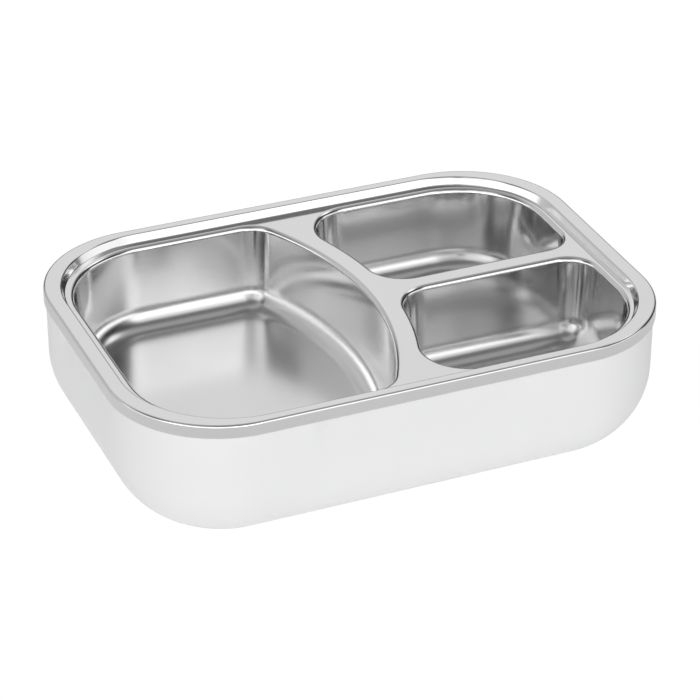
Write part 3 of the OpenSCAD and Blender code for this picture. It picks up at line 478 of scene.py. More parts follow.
FINISHES = {
    "casing_plastic": finish("white_polypropylene", (0.857, 0.858, 0.864, 1), (0.838, 0.84, 0.847, 1), 0.34,
                             0.03, bump=0.015, Specular_IOR_Level=0.4),
    "liner_plastic": finish("grey_polypropylene", grey(0.62), grey(0.58), 0.5, grain=900, bump=0.05),
    "tray_steel": finish("satin_steel", grey(0.82), grey(0.795), 0.22, 0.02, metallic=1.0, blotch=25,
                         grain=2600, bump=0.01, lines=(1.0, 40.0, 40.0),
                         polish=(DECK_Z - 30 * MM, DECK_Z - 2 * MM, 0.46)),
    "plate_aluminium": finish("anodised_aluminium", grey(0.62), grey(0.56), 0.42, metallic=1.0, grain=2200,
                              bump=0.05),
    "tube_aluminium": finish("drawn_aluminium", grey(0.66), grey(0.6), 0.34, metallic=1.0,
                             lines=(1.0, 30.0, 30.0)),
    "seal_silicone": finish("grey_silicone", grey(0.5), grey(0.46), 0.6),
    "gasket_silicone": finish("red_silicone", (0.45, 0.07, 0.04, 1), (0.38, 0.06, 0.035, 1), 0.6),
    "screw_steel": finish("zinc_plating", (0.62, 0.62, 0.64, 1), (0.52, 0.53, 0.56, 1), 0.32, metallic=1.0,
                          blotch=160),
    "stone_ceramic": finish("heating_ceramic", grey(0.05), grey(0.035), 0.7, grain=3000, bump=0.1),
    "strip_brass": finish("brass_strip", (0.75, 0.55, 0.22, 1), (0.68, 0.48, 0.18, 1), 0.3, metallic=1.0),
    "film_amber": finish("amber_film", (0.55, 0.25, 0.03, 1), (0.5, 0.22, 0.025, 1), 0.25),
    "strap_steel": finish("pressed_strap", grey(0.6), grey(0.54), 0.34, metallic=1.0,
                          lines=(30.0, 1.0, 30.0)),
    "phenolic": finish("dark_phenolic", grey(0.02), grey(0.014), 0.45, grain=2400, bump=0.08),
    "fuse_metal": finish("tinned_metal", grey(0.66), grey(0.58), 0.3, metallic=1.0),
    "sleeve_fibre": finish("glass_fibre", grey(0.75), grey(0.66), 0.85, grain=4000, bump=0.4),
    "inlet_plastic": finish("dark_nylon", grey(0.022), grey(0.016), 0.42, grain=2400, bump=0.06),
    "pin_nickel": finish("nickel_plating", (0.72, 0.7, 0.65, 1), (0.66, 0.64, 0.6, 1), 0.18, metallic=1.0),
    "cover_plastic": finish("cover_polypropylene", grey(0.78), grey(0.75), 0.48, grain=700, bump=0.06),
    "foot_rubber": finish("moulded_rubber", grey(0.09), grey(0.07), 0.75, grain=1800, bump=0.1),
    "wire_brown": finish("brown_insulation", (0.13, 0.05, 0.025, 1), (0.11, 0.04, 0.02, 1), 0.5),
    "wire_white": finish("white_insulation", grey(0.7), grey(0.64), 0.5),
    "wire_blue": finish("blue_insulation", (0.03, 0.1, 0.35, 1), (0.025, 0.085, 0.3, 1), 0.5),
}


# Outlines, counter-clockwise from above, drawn in by u

def arc(cx, cy, r, start, end, steps):
    turn = np.radians(np.linspace(start, end, steps + 1))
    return np.c_[cx + r * np.cos(turn), cy + r * np.sin(turn)]


def joined(arcs, straight, edge=1.0 * MM):
    """One closed outline from arcs. A straight run after an arc whose number is in straight gets a point
    near each end."""
    points = []
    for k, part in enumerate(arcs):
        points.append(part)
        if k in straight:
            a, b = part[-1], arcs[(k + 1) % len(arcs)][0]
            way = (b - a) / np.linalg.norm(b - a)
            points.append(np.array([a + way * edge, b - way * edge]))
    return np.concatenate(points)


def rounded_rectangle(hx, hy, r):
    x, y = hx - r, hy - r
    corners = [(x, y, 0), (-x, y, 90), (-x, -y, 180), (x, -y, 270)]
    return joined([arc(cx, cy, r, a, a + 90, CORNER_STEPS) for cx, cy, a in corners], (0, 1, 2, 3))


def rim_outline(u):
    return rounded_rectangle(RIM_HX - u, RIM_HY - u, RIM_R - u)


def step_outline(u):
    return rounded_rectangle(RIM_HX - FLANGE_END - u, RIM_HY - FLANGE_SIDE - u, FLANGE_R - u)


def nook(name, u):
    return max(NOOKS[name] - u, NOOK_MIN)


def main_outline(u):
    """The large compartment: two round corners on the left, and the ridge between two nooks on the right."""
    r, s, ridge = MAIN_R - u, nook("main", u), RIDGE_R - u
    left, y = -LIP_X + u, LIP_Y - u
    cy = y - s
    cx = RIDGE_CX + math.sqrt((ridge - s) ** 2 - cy * cy)
    a = math.degrees(math.atan2(cy, cx - RIDGE_CX))
    bow = RIDGE_SPAN * a
    return joined([
        arc(left + r, y - r, r, 90, 180, CORNER_STEPS),
        arc(left + r, r - y, r, 180, 270, CORNER_STEPS),
        arc(cx, -cy, s, -90, -a, NOOK_STEPS),
        arc(RIDGE_CX, 0, ridge, -bow, bow, 3 * NOOK_STEPS),
        arc(cx, cy, s, a, 90, NOOK_STEPS),
    ], (0, 1, 4))


def side_outline(u):
    """The rear small compartment, between the ridge, the rim and the divider."""
    r, ridge = SIDE_R - u, RIDGE_R + RIDGE_W + u
    s1, s2, s3 = nook("side", u), nook("fork", u), nook("end", u)
    x, y, low = LIP_X - u, LIP_Y - u, DIVIDER_W / 2 + u
    cy1, cy2 = y - s1, low + s2
    cx1 = RIDGE_CX + math.sqrt((ridge + s1) ** 2 - cy1 * cy1)
    cx2 = RIDGE_CX + math.sqrt((ridge + s2) ** 2 - cy2 * cy2)
    a1 = math.degrees(math.atan2(cy1, cx1 - RIDGE_CX))
    a2 = math.degrees(math.atan2(cy2, cx2 - RIDGE_CX))
    part = (a1 - a2) * RIDGE_ENDS
    return joined([
        arc(x - r, y - r, r, 0, 90, CORNER_STEPS),
        arc(cx1, cy1, s1, 90, 180 + a1, NOOK_STEPS),
        arc(RIDGE_CX, 0, ridge, a1 - part, a2 + part, 12),
        arc(cx2, cy2, s2, 180 + a2, 270, NOOK_STEPS),
        arc(x - s3, low + s3, s3, 270, 360, NOOK_STEPS),
    ], (0, 3, 4))


def mirrored_outline(u):
    return side_outline(u)[::-1] * (1, -1)


# The tray

def press_profile(depth, r_top, r_low, draft, thick=0.0, steps=(8, 14)):
    """[inward, down] over a rolled edge, down a leaning wall and round to a floor, with margins."""
    a = math.radians(90 - draft)
    drop = depth - (r_top + r_low) * (1 - math.cos(a))
    run = (r_top + r_low) * math.sin(a) + drop * math.tan(math.radians(draft))
    top = [((r_top - thick) * math.sin(t), r_top - (r_top - thick) * math.cos(t))
           for t in np.linspace(0, a, steps[0])]
    low = [(run - (r_low + thick) * math.sin(t), depth - r_low + (r_low + thick) * math.cos(t))
           for t in np.linspace(a, 0, steps[1])]
    wall = np.array(low[0]) - np.array(top[-1])
    wall *= min(MARGIN / np.linalg.norm(wall), 0.25)
    top += [tuple(np.array(top[-1]) + wall)]
    low = [tuple(np.array(low[0]) - wall)] + low
    return [(-MARGIN, thick)] + top + low + [(run + MARGIN, depth + thick)]


def stacked(outline, profile, top):
    """Rings of points: the outline drawn in and lowered by each step of a profile."""
    return [np.c_[outline(u), np.full(len(outline(u)), top - down)] for u, down in profile]


class Skin:
    """Rings of points joined into strips, with level faces between or inside them."""

    def __init__(self):
        self.points, self.faces, self.count = [], [], 0

    def rings(self, rings, outwards=True):
        first, n = self.count, len(rings[0])
        self.points += rings
        self.count += n * len(rings)
        for k in range(len(rings) - 1):
            low, high = first + k * n, first + (k + 1) * n
            for j in range(n):
                m = (j + 1) % n
                quad = [low + j, low + m, high + m, high + j]
                self.faces.append(quad if outwards else quad[::-1])
        return range(first, first + n), range(self.count - n, self.count)

    def level(self, ring, up=True):
        self.faces.append(list(ring) if up else list(ring)[::-1])

    def piece(self, name):
        return new_piece(name, np.concatenate(self.points), self.faces)


def between(skin, outer, holes, up):
    """A level face inside ring outer with holes, filled by triangles."""
    mesh = bmesh.new()
    points = np.concatenate(skin.points)
    numbers = {}
    for ring in [outer, *holes]:
        corners = [mesh.verts.new(points[k]) for k in ring]
        numbers.update(zip(corners, ring))
        for k, corner in enumerate(corners):
            mesh.edges.new((corner, corners[(k + 1) % len(corners)]))
    bmesh.ops.triangle_fill(mesh, use_beauty=True, use_dissolve=False, edges=mesh.edges[:], normal=(0, 0, 1))
    for face in mesh.faces:
        loop = [numbers[v] for v in face.verts]
        skin.faces.append(loop if (face.normal.z > 0) == up else loop[::-1])
    mesh.free()


def rolled(r, start, end, steps):
    """[inward, down] round the quarter of a roll between two angles."""
    return [(r * (1 - math.cos(t)), r * (1 - math.sin(t))) for t in np.linspace(start, end, steps)]


def pressed_tray():
    """The steel tray: one sheet, its upper and lower face and the cut edge of the skirt."""
    skin = Skin()
    quarter = math.pi / 2
    under = [(SHEET + u, SHEET + down) for u, down in rolled(CREASE_INNER_R, quarter, 0, 5)]
    under = [(under[0][0] + MARGIN, SHEET)] + under + [(SHEET, SKIRT_H - SKIRT_EDGE)]
    lip = [(SHEET - SKIRT_EDGE, SKIRT_H), (SKIRT_EDGE, SKIRT_H), (0, SKIRT_H - SKIRT_EDGE)]
    over = [(0, SKIRT_H - 2 * SKIRT_EDGE), (0, CREASE_R + MARGIN)]
    over += rolled(CREASE_R, 0, quarter, 9) + [(CREASE_R + MARGIN, 0)]
    rim = stacked(rim_outline, under + lip + over, RIM_TOP)
    under_deck, deck = (
        stacked(step_outline, press_profile(STEP_H, STEP_R + SHEET / 2, STEP_R, STEP_DRAFT, thick, (5, 5)),
                RIM_TOP) for thick in (SHEET, 0))
    low_ring, high_ring = skin.rings(under_deck[::-1] + rim + deck)
    tops, lows = [], []
    for outline in (main_outline, side_outline, mirrored_outline):
        for thick, rims in ((0.0, tops), (SHEET, lows)):
            profile = press_profile(POCKET_H, LIP_R, FLOOR_R, WALL_DRAFT, thick)
            first, last = skin.rings(stacked(outline, profile, DECK_Z), outwards=thick == 0)
            rims.append(first)
            skin.level(last, up=thick == 0)
    between(skin, high_ring, tops, up=True)
    between(skin, low_ring, lows, up=False)
    piece = skin.piece("pressed_tray")
    smooth(piece, 50)
    return piece


# The casing: one closed wall of rings, with scoops pressed into its four sides

def blend(value, low, high):
    t = np.clip((value - low) / (high - low), 0, 1)
    return t * t * (3 - 2 * t)


def wall_places(half, scoop):
    """Places along a straight wall, close together where a scoop ends."""
    near, far = scoop / 2 - 0.6 * SCOOP_SOFT, scoop / 2 + 0.6 * SCOOP_SOFT
    side = np.r_[np.linspace(near, far, 15), np.linspace(far, half, 6)[1:-1]]
    return np.r_[-side[::-1], np.linspace(-near, near, 14)[1:-1], side]


def level_ring(cx, cy, r, z, wall):
    """Round corners about (cx, cy) and its mirror places, with a wall after each.

    wall tells, for a long or a short wall, how far out its points are and their places along it.
    """
    points = []
    for k, (sx, sy) in enumerate(((1, 1), (-1, 1), (-1, -1), (1, -1))):
        points.append(arc(sx * cx, sy * cy, r, 90 * k, 90 * k + 90, CORNER_STEPS))
        out, places = wall(k % 2 == 0)
        turn = math.radians(90 * (k + 1))
        points.append(np.outer(out, (math.cos(turn), math.sin(turn)))
                      + np.outer(places, (-math.sin(turn), math.cos(turn))))
    ring = np.concatenate(points)
    return np.c_[ring, np.full(len(ring), z)]


def casing_ring(inset, z, scoop=0.0, backing=0.0):
    """The casing's plan drawn in by inset. scoop and backing draw the middle of each wall in further."""
    cx, cy = CASING_HX - CASING_R, CASING_HY - CASING_R

    def wall(long):
        end = -(SCOOP_SIDE if long else SCOOP_END) / 2
        out, half = (CASING_HY, cx) if long else (CASING_HX, cy)
        places = wall_places(half, -2 * end)
        drawn = scoop * blend(-np.abs(places), end - SCOOP_SOFT / 2, end + SCOOP_SOFT / 2)
        drawn += backing * blend(-np.abs(places), end - BACKING_RIM, end - BACKING_RIM + BACKING_SOFT)
        return out - inset - drawn, places

    return level_ring(cx, cy, CASING_R - inset, z, wall)


def base_ring(hx, hy, r, z):
    """A rounded rectangle with as many points as a ring of the casing."""
    def wall(long):
        out, half = (hy, hx - r) if long else (hx, hy - r)
        count = len(wall_places(half, half))
        return np.full(count, out), np.linspace(-half, half, count + 2)[1:-1]

    return level_ring(hx - r, hy - r, r, z, wall)


def scoop_at(z):
    """Depth of a scoop at a height: it runs out downwards in a straight slope with a soft foot."""
    slope = SCOOP_DEPTH / SCOOP_H
    if z < SCOOP_FOOT - SCOOP_FOOT_SOFT:
        return 0.0
    if z < SCOOP_FOOT + SCOOP_FOOT_SOFT:
        return slope * (z - SCOOP_FOOT + SCOOP_FOOT_SOFT) ** 2 / (4 * SCOOP_FOOT_SOFT)
    return min(slope * (z - SCOOP_FOOT), SCOOP_DEPTH)


def swept(radius, thick, steps):
    """[inset, height] up the swept edge, from the flat underside to the upright wall."""
    turns = np.linspace(0, math.pi / 2, steps)
    low = CASING_Z + thick
    return [(thick + radius * (1 - math.sin(t)), low + radius * (1 - math.cos(t))) for t in turns]


def casing_outside(draw_in=0.0):
    return [casing_ring(inset, z) for inset, z in swept(SWEEP_R - draw_in, draw_in, 25)]


def underside_rings():
    """From the edge of the opening, down its wall, and out and down round the base cover's seat."""
    low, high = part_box("base_cover")
    rebate = low.z + COVER_EDGE_T
    opening = (high.x - COVER_LIP, high.y - COVER_LIP, OPENING_R)
    seat = (high.x + COVER_GAP, high.y + COVER_GAP, SEAT_R)
    mouth = (size + COVER_GAP for size in seat)
    return [base_ring(*opening, CASING_Z + CASING_T), base_ring(*opening, rebate), base_ring(*seat, rebate),
            base_ring(*seat, CASING_Z + COVER_GAP), base_ring(*mouth, CASING_Z)]


def outer_wall_rings():
    """Up the four walls with their scoops to the rounded rim, and over it."""
    soft = np.linspace(SCOOP_FOOT - SCOOP_FOOT_SOFT, SCOOP_FOOT + SCOOP_FOOT_SOFT, 9)
    slope = np.linspace(soft[-1] + ABOVE_FOOT, SCOOP_BROW - BROW_EDGE, 7)
    rings = [casing_ring(0, z, scoop_at(z)) for z in [soft[0] - BELOW_FOOT, *soft, *slope]]
    rings += [casing_ring(0, SCOOP_BROW, SCOOP_DEPTH), casing_ring(0, SCOOP_BROW)]
    rings += [casing_ring(0, SCOOP_BROW + MARGIN)]
    rim = rolled(CASING_EDGE, 0, math.pi / 2, 5)
    rings += [casing_ring(inset, CASING_TOP - down) for inset, down in rim]
    return rings + [casing_ring(CASING_T - inset, CASING_TOP - down) for inset, down in rim[::-1]]


def inner_wall_rings():
    """Down the inside, over the backing of the scoops and the ledge under the seal, to the swept edge."""
    ledge_in, ledge_low = CASING_T + LEDGE_REACH, LEDGE_Z - LEDGE_T
    backing_low = SCOOP_FOOT - BACKING_RIM
    rows = [
        (CASING_T, BACKING_TOP + LEDGE_EDGE), (CASING_T, BACKING_TOP), (CASING_T, BACKING_TOP, 0, BACKING_T),
        (CASING_T, LEDGE_Z + MARGIN, 0, BACKING_T), (CASING_T, LEDGE_Z, 0, BACKING_T),
        (ledge_in - LEDGE_EDGE, LEDGE_Z), (ledge_in, LEDGE_Z - LEDGE_EDGE),
        (ledge_in, ledge_low + LEDGE_EDGE), (ledge_in - LEDGE_EDGE, ledge_low),
        (CASING_T, ledge_low, 0, BACKING_T), (CASING_T, backing_low, 0, BACKING_T), (CASING_T, backing_low),
    ]
    return [casing_ring(*row) for row in rows + swept(SWEEP_R - CASING_T, CASING_T, 21)[::-1]]


def casing_wall():
    rings = underside_rings() + casing_outside() + outer_wall_rings() + inner_wall_rings()
    skin = Skin()
    skin.rings(rings + rings[:1])
    piece = skin.piece("moulded_casing")
    work = bmesh.new()
    work.from_mesh(piece.data)
    bmesh.ops.remove_doubles(work, verts=work.verts[:], dist=RING_MERGE)
    work.to_mesh(piece.data)
    work.free()
    return piece


def block(low, high):
    """A box between two corners, for cutting and adding."""
    (x0, y0, z0), (x1, y1, z1) = low, high
    corners = [(x, y, z) for z in (z0, z1) for x, y in ((x0, y0), (x1, y0), (x1, y1), (x0, y1))]
    sides = [(0, 1, 5, 4), (1, 2, 6, 5), (2, 3, 7, 6), (3, 0, 4, 7)]
    return new_piece("block", corners, [(3, 2, 1, 0), (4, 5, 6, 7)] + sides)


def rod(x, z, r, y0, y1, steps=24):
    """A round bar along Y."""
    turns = [2 * math.pi * k / steps for k in range(steps)]
    points = [(x + r * math.cos(t), y, z + r * math.sin(t)) for y in (y0, y1) for t in turns]
    sides = [(k, (k + 1) % steps, steps + (k + 1) % steps, steps + k)[::-1] for k in range(steps)]
    return new_piece("rod", points, sides + [tuple(range(steps)), tuple(range(2 * steps - 1, steps - 1, -1))])


def worked(piece, tool, operation):
    """Takes a tool away from a piece or adds it. The tool is used up."""
    modifier = piece.modifiers.new("work", "BOOLEAN")
    modifier.operation = operation
    modifier.object = tool
    modifier.solver = "EXACT"
    settle(piece)
    bpy.data.objects.remove(tool)


def moulded_casing():
    """The casing with the inlet's bay, its seat, the hole for its body and its two screw holes."""
    piece = casing_wall()
    flange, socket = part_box("power_inlet")
    seat = socket.y - INLET_FLANGE_T
    bay_x, bay_low, bay_top = socket.x + BAY_GAP, flange.z - BAY_GAP, socket.z + BAY_GAP
    skin = Skin()
    first, last = skin.rings(casing_outside(BAY_CORE_INSET))
    skin.level(first, up=False)
    skin.level(last)
    core = skin.piece("bay_core")
    room = block((-bay_x - BAY_ROOF, seat - CASING_T, 0), (bay_x + BAY_ROOF, CASING_HY, bay_top + BAY_ROOF))
    worked(core, room, "INTERSECT")
    worked(piece, core, "UNION")
    worked(piece, block((-bay_x, seat, bay_low), (bay_x, 2 * CASING_HY, bay_top)), "DIFFERENCE")
    mid_z, body_z = (flange.z + socket.z) / 2, (socket.z - flange.z) / 2
    body_x = INLET_HX + INLET_PLAY
    front, back = seat - 2 * CASING_T, seat + CASING_T
    worked(piece, block((-body_x, front, mid_z - body_z), (body_x, back, mid_z + body_z)), "DIFFERENCE")
    for side in (-1, 1):
        worked(piece, rod(side * INLET_SCREW_X, mid_z, INLET_SCREW_R, front, back), "DIFFERENCE")
    round_bay(piece, bay_x, bay_top)
    smooth(piece, 35)
    return piece


def round_bay(piece, bay_x, bay_top):
    """Breaks the outer edge of the inlet's bay, where it meets the swept side."""
    work = bmesh.new()
    work.from_mesh(piece.data)
    rim = []
    for edge in work.edges:
        at = (edge.verts[0].co + edge.verts[1].co) / 2
        inside = abs(at.x) < bay_x + BAY_REACH and at.z < bay_top + BAY_REACH and at.y > RIM_HY - BAY_DEPTH
        if inside and len(edge.link_faces) == 2 and edge.calc_face_angle() > math.radians(BAY_SHARP):
            if any(max(abs(part) for part in face.normal) < BAY_LEVEL for face in edge.link_faces):
                rim.append(edge)
    bmesh.ops.bevel(work, geom=rim, offset=BAY_EDGE, segments=2, profile=0.5, affect="EDGES",
                    clamp_overlap=True)
    work.to_mesh(piece.data)
    work.free()


# Pieces that take over their CAD shape, with broken edges

def finished(node, edge):
    """A merged copy of a CAD node whose sharp edges are broken by edge."""
    mesh = nodes[node].data.copy()
    mesh.name = node + "_finished"
    piece = bpy.data.objects.new(node + "_finished", mesh)
    bpy.context.scene.collection.objects.link(piece)
    work = bmesh.new()
    work.from_mesh(mesh)
    bmesh.ops.remove_doubles(work, verts=work.verts[:], dist=CAD_MERGE)
    bmesh.ops.dissolve_limit(work, angle_limit=math.radians(FLAT_WITHIN), use_dissolve_boundaries=False,
                             verts=work.verts[:], edges=work.edges[:])
    work.to_mesh(mesh)
    work.free()
    bevel = piece.modifiers.new("broken_edge", "BEVEL")
    bevel.width = edge
    bevel.segments = 2
    bevel.limit_method = "ANGLE"
    bevel.angle_limit = math.radians(BREAK_FROM)
    bevel.use_clamp_overlap = True
    bevel.harden_normals = False
    settle(piece)
    piece.data.materials.clear()
    smooth(piece, 40)
    weigh = piece.modifiers.new("even_normals", "WEIGHTED_NORMAL")
    weigh.keep_sharp = True
    settle(piece)
    dress(piece, node)


# Geometry Nodes: turned, repeated and drawn pieces

BASE = ("Base", GEOMETRY)
TURN = ("Turn", VECTOR, (0, 0, 0))
FINISH = ("Finish", "NodeSocketMaterial")


def geometry_tree(name, *inputs):
    return new_tree("GeometryNodeTree", name, inputs, [("Geometry", GEOMETRY)])


def ended(tree, size, out, shape):
    """Ends a tree: its shape as real mesh, in its own finish."""
    real = step(tree, "GeometryNodeRealizeInstances", Geometry=shape)
    feed(tree, out["Geometry"], step(tree, "GeometryNodeSetMaterial", Geometry=real, Material=size["Finish"]))


def repeated(tree, size, out, shape):
    """Ends a tree with its shape on each point of the base, turned by Turn."""
    every = step(tree, "GeometryNodeInstanceOnPoints", Points=size["Base"], Instance=shape,
                 Rotation=size["Turn"])
    ended(tree, size, out, every)


def turned_tree():
    """A round button on the plane z = 0. Over the height Round below its top, its side curves in by Crown."""
    tree, size, out = geometry_tree(
        "turned_button", ("Radius", NUMBER, 3 * MM), ("Height", NUMBER, 1.6 * MM),
        ("Round", NUMBER, 0.8 * MM), ("Crown", NUMBER, 0.2), ("Sides", "NodeSocketInt", 32))
    levels = 8
    drum = step(tree, "GeometryNodeMeshCylinder", {"fill_type": "NGON"}, Vertices=size["Sides"],
                Side_Segments=levels, Radius=size["Radius"], Depth=size["Height"])
    place = add(tree, "ShaderNodeSeparateXYZ", _0=step(tree, "GeometryNodeInputPosition")).outputs
    up = sums(tree, "ADD", sums(tree, "DIVIDE", place["Z"], size["Height"]), 0.5)
    floors = sums(tree, "MULTIPLY", up, float(levels))
    wall = sums(tree, "MINIMUM", floors, 1.0)
    past = sums(tree, "MAXIMUM", sums(tree, "SUBTRACT", floors, 1.0), 0.0)
    turn = sums(tree, "MULTIPLY", past, math.pi / 2 / (levels - 1))
    drawn = sums(tree, "MULTIPLY", sums(tree, "SUBTRACT", 1.0, sums(tree, "COSINE", turn)), size["Crown"])
    keep = sums(tree, "SUBTRACT", 1.0, drawn)
    straight = sums(tree, "MULTIPLY", sums(tree, "SUBTRACT", size["Height"], size["Round"]), wall)
    lift = sums(tree, "ADD", straight, sums(tree, "MULTIPLY", sums(tree, "SINE", turn), size["Round"]))
    moved = step(tree, "ShaderNodeCombineXYZ", X=sums(tree, "MULTIPLY", place["X"], keep),
                 Y=sums(tree, "MULTIPLY", place["Y"], keep), Z=lift)
    feed(tree, out["Geometry"], step(tree, "GeometryNodeSetPosition", Geometry=drum, Position=moved))
    return tree


TURNED = turned_tree()


def button(tree, radius, height, rounded, crown, sides=32):
    return step(tree, "GeometryNodeGroup", {"node_tree": TURNED}, Radius=radius, Height=height, Round=rounded,
                Crown=crown, Sides=sides)


def screw_tree():
    """Cross-head screws: a crowned head with a recess, on a round shank."""
    tree, size, out = geometry_tree(
        "cross_head_screws", BASE, ("Head Radius", NUMBER, 3 * MM), ("Head Height", NUMBER, 1.6 * MM),
        ("Shank Radius", NUMBER, 1.5 * MM), ("Shank Length", NUMBER, 12 * MM), TURN, FINISH)
    reach, tall = size["Head Radius"], size["Head Height"]
    head = button(tree, reach, tall, sums(tree, "MULTIPLY", tall, HEAD_ROUND), HEAD_CROWN)
    slit = sums(tree, "MULTIPLY", reach, RECESS_WIDTH)
    deep = sums(tree, "MULTIPLY", tall, 2 * RECESS_DEPTH)
    cross = add(tree, "GeometryNodeMeshBoolean", {"operation": "UNION", "solver": "EXACT"})
    for x, y in ((reach, slit), (slit, reach)):
        bar = step(tree, "GeometryNodeMeshCube", Size=step(tree, "ShaderNodeCombineXYZ", X=x, Y=y, Z=deep))
        feed(tree, cross.inputs["Mesh 2"], bar)
    lifted = step(tree, "GeometryNodeTransform", Geometry=cross.outputs[0],
                  Translation=step(tree, "ShaderNodeCombineXYZ", Z=tall))
    cut = step(tree, "GeometryNodeMeshBoolean", {"operation": "DIFFERENCE", "solver": "EXACT"},
               Mesh_1=head, Mesh_2=lifted)
    shank = button(tree, size["Shank Radius"], size["Shank Length"], size["Shank Radius"], 0.5, 24)
    whole = add(tree, "GeometryNodeJoinGeometry")
    for shape in (step(tree, "GeometryNodeTransform", Geometry=shank, Rotation=(math.pi, 0, 0)), cut):
        feed(tree, whole.inputs[0], shape)
    repeated(tree, size, out, whole.outputs[0])
    return tree


def stud_tree():
    """Plain round studs, such as feet and contact pins."""
    tree, size, out = geometry_tree(
        "round_studs", BASE, ("Radius", NUMBER, 5 * MM), ("Height", NUMBER, 2 * MM),
        ("Round", NUMBER, 0.5 * MM), ("Crown", NUMBER, 0.1), TURN, FINISH)
    stud = button(tree, size["Radius"], size["Height"], size["Round"], size["Crown"], 40)
    repeated(tree, size, out, stud)
    return tree


def drawn_tree():
    """A round strand along the base's line, bent smoothly through its points."""
    tree, size, out = geometry_tree(
        "insulated_strand", BASE, ("Radius", NUMBER, 1 * MM), ("Step", NUMBER, 1 * MM), FINISH)
    line = step(tree, "GeometryNodeMeshToCurve", Mesh=size["Base"])
    bent = step(tree, "GeometryNodeCurveSplineType", {"spline_type": "CATMULL_ROM"}, Curve=line)
    even = step(tree, "GeometryNodeResampleCurve", {"mode": "LENGTH"}, Curve=bent, Length=size["Step"])
    ring = step(tree, "GeometryNodeCurvePrimitiveCircle", Resolution=14, Radius=size["Radius"])
    strand = step(tree, "GeometryNodeCurveToMesh", Curve=even, Profile_Curve=ring, Fill_Caps=True)
    ended(tree, size, out, strand)
    return tree


def ring_tree():
    """A moulded ring: a rounded section carried round the base's closed line."""
    tree, size, out = geometry_tree(
        "moulded_ring", BASE, ("Width", NUMBER, 1.5 * MM), ("Height", NUMBER, 1.5 * MM),
        ("Corner", NUMBER, 0.3 * MM), FINISH)
    line = step(tree, "GeometryNodeMeshToCurve", Mesh=size["Base"])
    section = step(tree, "GeometryNodeCurvePrimitiveQuadrilateral", Width=size["Width"],
                   Height=size["Height"])
    rounded = step(tree, "GeometryNodeFilletCurve", {"mode": "POLY"}, Curve=section, Count=3,
                   Radius=size["Corner"])
    ended(tree, size, out, step(tree, "GeometryNodeCurveToMesh", Curve=line, Profile_Curve=rounded))
    return tree


def grown(name, tree, points, node, line=None, sharp_from=35, **sizes):
    """Runs a tree on points, joined to an open or closed line if wanted, and dresses the mesh it makes."""
    count = {None: 0, "open": len(points) - 1, "closed": len(points)}[line]
    piece = new_piece(name, points, [], [(k, (k + 1) % len(points)) for k in range(count)])
    modifier = piece.modifiers.new("grown", "NODES")
    modifier.node_group = tree
    sizes["Finish"] = FINISHES[SLOT_OF[node]]
    for item in tree.interface.items_tree:
        if item.in_out == "INPUT" and item.name.replace(" ", "_") in sizes:
            modifier[item.identifier] = sizes[item.name.replace(" ", "_")]
    settle(piece)
    piece.data.name = name
    smooth(piece, sharp_from)
    dress(piece, node)


def middle(node):
    low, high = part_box(node)
    return (low + high) / 2


def centres(node):
    """The middle of each solid of a CAD node, from left to right."""
    work = bmesh.new()
    work.from_mesh(nodes[node].data)
    bmesh.ops.remove_doubles(work, verts=work.verts[:], dist=CAD_MERGE)
    left, found = set(work.verts), []
    while left:
        solid, waiting = set(), [next(iter(left))]
        while waiting:
            vert = waiting.pop()
            if vert not in solid:
                solid.add(vert)
                waiting += [edge.other_vert(vert) for edge in vert.link_edges]
        left -= solid
        low = [min(v.co[k] for v in solid) for k in range(3)]
        high = [max(v.co[k] for v in solid) for k in range(3)]
        found.append(Vector([(a + b) / 2 for a, b in zip(low, high)]))
    work.free()
    return sorted(found, key=tuple)


def upright_screws(name, tree, node, head_r, shank_r):
    low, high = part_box(node)
    seat = low.z + HEAD_H
    grown(name, tree, [(c.x, c.y, seat) for c in centres(node)], node, Head_Radius=head_r,
          Head_Height=HEAD_H, Shank_Radius=shank_r, Shank_Length=high.z - seat, Turn=(math.pi, 0, 0))


def fitted_screws():
    tree = screw_tree()
    upright_screws("base_cross_screws", tree, "base_screws", BASE_HEAD_R, BASE_SCREW_R)
    upright_screws("plate_cross_screws", tree, "plate_screws", PLATE_HEAD_R, BASE_SCREW_R)
    upright_screws("bracket_cross_screws", tree, "bracket_screws", BRACKET_HEAD_R, BRACKET_SCREW_R)
    low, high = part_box("inlet_screws")
    seat = high.y - INLET_HEAD_H
    grown("inlet_cross_screws", tree, [(c.x, seat, c.z) for c in centres("inlet_screws")], "inlet_screws",
          Head_Radius=INLET_HEAD_R, Head_Height=INLET_HEAD_H, Shank_Radius=INLET_SCREW_R,
          Shank_Length=seat - low.y, Turn=(-math.pi / 2, 0, 0))


def studs():
    tree = stud_tree()
    low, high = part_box("rubber_feet")
    grown("round_feet", tree, [(c.x, c.y, high.z) for c in centres("rubber_feet")], "rubber_feet",
          Radius=FOOT_R, Height=high.z - low.z, Round=FOOT_ROUND, Crown=FOOT_CROWN, Turn=(math.pi, 0, 0))
    low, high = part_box("inlet_pins")
    r = (high.z - low.z) / 2
    grown("contact_pins", tree, [(c.x, low.y, c.z) for c in centres("inlet_pins")], "inlet_pins",
          Radius=r, Height=high.y - low.y, Round=r, Crown=0.5, Turn=(-math.pi / 2, 0, 0))


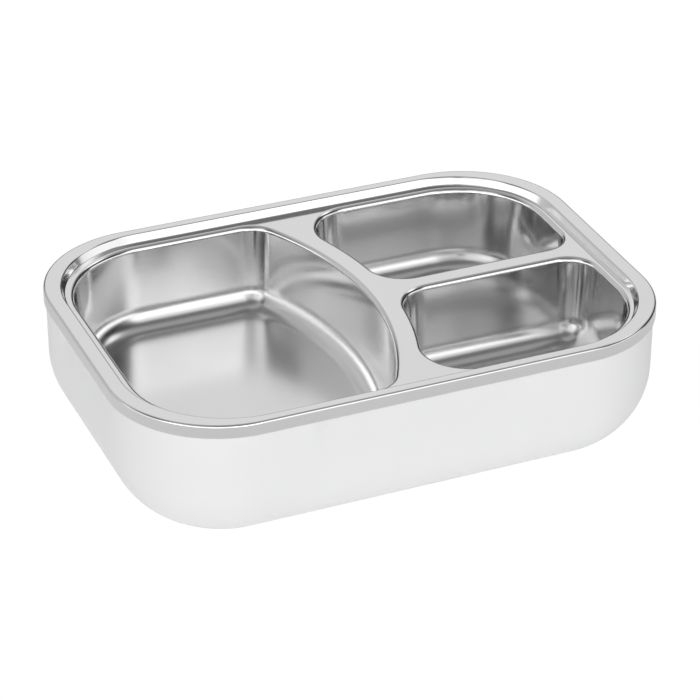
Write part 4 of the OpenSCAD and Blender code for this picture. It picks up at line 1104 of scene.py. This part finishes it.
def wires():
    """Inlet to fuse, fuse to thermostat, thermostat to heater and heater to inlet, from the joined parts."""
    tree = drawn_tree()
    r, lead, bend = WIRE_R, WIRE_LEAD, WIRE_BEND
    pins, fuse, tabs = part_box("inlet_pins"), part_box("thermal_fuse"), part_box("heater_electrodes")
    inlet_z = middle("inlet_pins").z
    pin_x = pins[1].x - (pins[1].z - pins[0].z) / 2
    tail = pins[0].y
    lead_x, fuse_y, fuse_z = fuse[1].x, middle("thermal_fuse").y, middle("thermal_fuse").z
    disc_x, disc_z = middle("thermostat_terminals").x, middle("thermostat_terminals").z
    disc_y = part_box("thermostat_terminals")[1].y
    tab_x, tab_y = tabs[0].x, TAB_Y
    low_tab, high_tab = tabs[0].z + TAB_T / 2, tabs[1].z - TAB_T / 2
    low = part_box("base_cover")[1].z + WIRE_ABOVE_COVER
    run = fuse_y + lead
    routes = {
        "live_wire": [
            (pin_x, tail, inlet_z), (pin_x, tail - lead, inlet_z), (pin_x + bend, tail - 2 * lead, inlet_z),
            (lead_x + bend, fuse_y + bend, (inlet_z + fuse_z) / 2),
            (lead_x + 2 * lead, fuse_y, fuse_z - r), (lead_x + lead, fuse_y, fuse_z),
            (lead_x, fuse_y, fuse_z)],
        "fuse_wire": [
            (-lead_x, fuse_y, fuse_z), (-lead_x - lead, fuse_y, fuse_z),
            (-lead_x - bend, fuse_y + r, (fuse_z + low) / 2), (-lead_x / 2, fuse_y + 2 * r, low),
            (lead_x, fuse_y + r, low), (2 * lead_x, fuse_y, low + r), (disc_x, disc_y + lead, disc_z),
            (disc_x, disc_y, disc_z)],
        "thermostat_wire": [
            (disc_x, -disc_y, disc_z), (disc_x, -disc_y - lead, disc_z), (2 * lead_x - lead, -run, low + r),
            (0, -run - r, low), (lead - 2 * lead_x, -run, low + r),
            (tab_x - r, bend - run, (low + low_tab) / 2), (tab_x - lead, -tab_y, low_tab),
            (tab_x, -tab_y, low_tab)],
        "neutral_wire": [
            (tab_x, tab_y, high_tab), (tab_x - lead, tab_y, high_tab),
            (tab_x - lead, run - bend, (low + high_tab) / 2), (-2 * lead_x, run + r, low + r),
            (-lead_x, run + 2 * r, inlet_z - r), (-pin_x, tail - lead, inlet_z), (-pin_x, tail, inlet_z)],
    }
    for node, route in routes.items():
        grown(node + "_strand", tree, route, node, line="open", sharp_from=50, Radius=r, Step=1 * MM)


def sealing_ring():
    low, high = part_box("rim_seal")
    inset = RIM_HX - high.x + SEAL_WIDTH / 2
    line = [(x, y, (low.z + high.z) / 2) for x, y in rim_outline(inset)]
    grown("rim_seal_ring", ring_tree(), line, "rim_seal", line="closed", sharp_from=60,
          Width=SEAL_WIDTH, Height=high.z - low.z, Corner=SEAL_CORNER)


photo_camera()
studio_world()
ground()
bpy.context.scene.view_settings.view_transform = "Standard"

dress(pressed_tray(), "food_tray", "tray")
dress(moulded_casing(), "outer_casing")
fitted_screws()
studs()
wires()
sealing_ring()
for node, edge in BROKEN_EDGES.items():
    finished(node, edge)
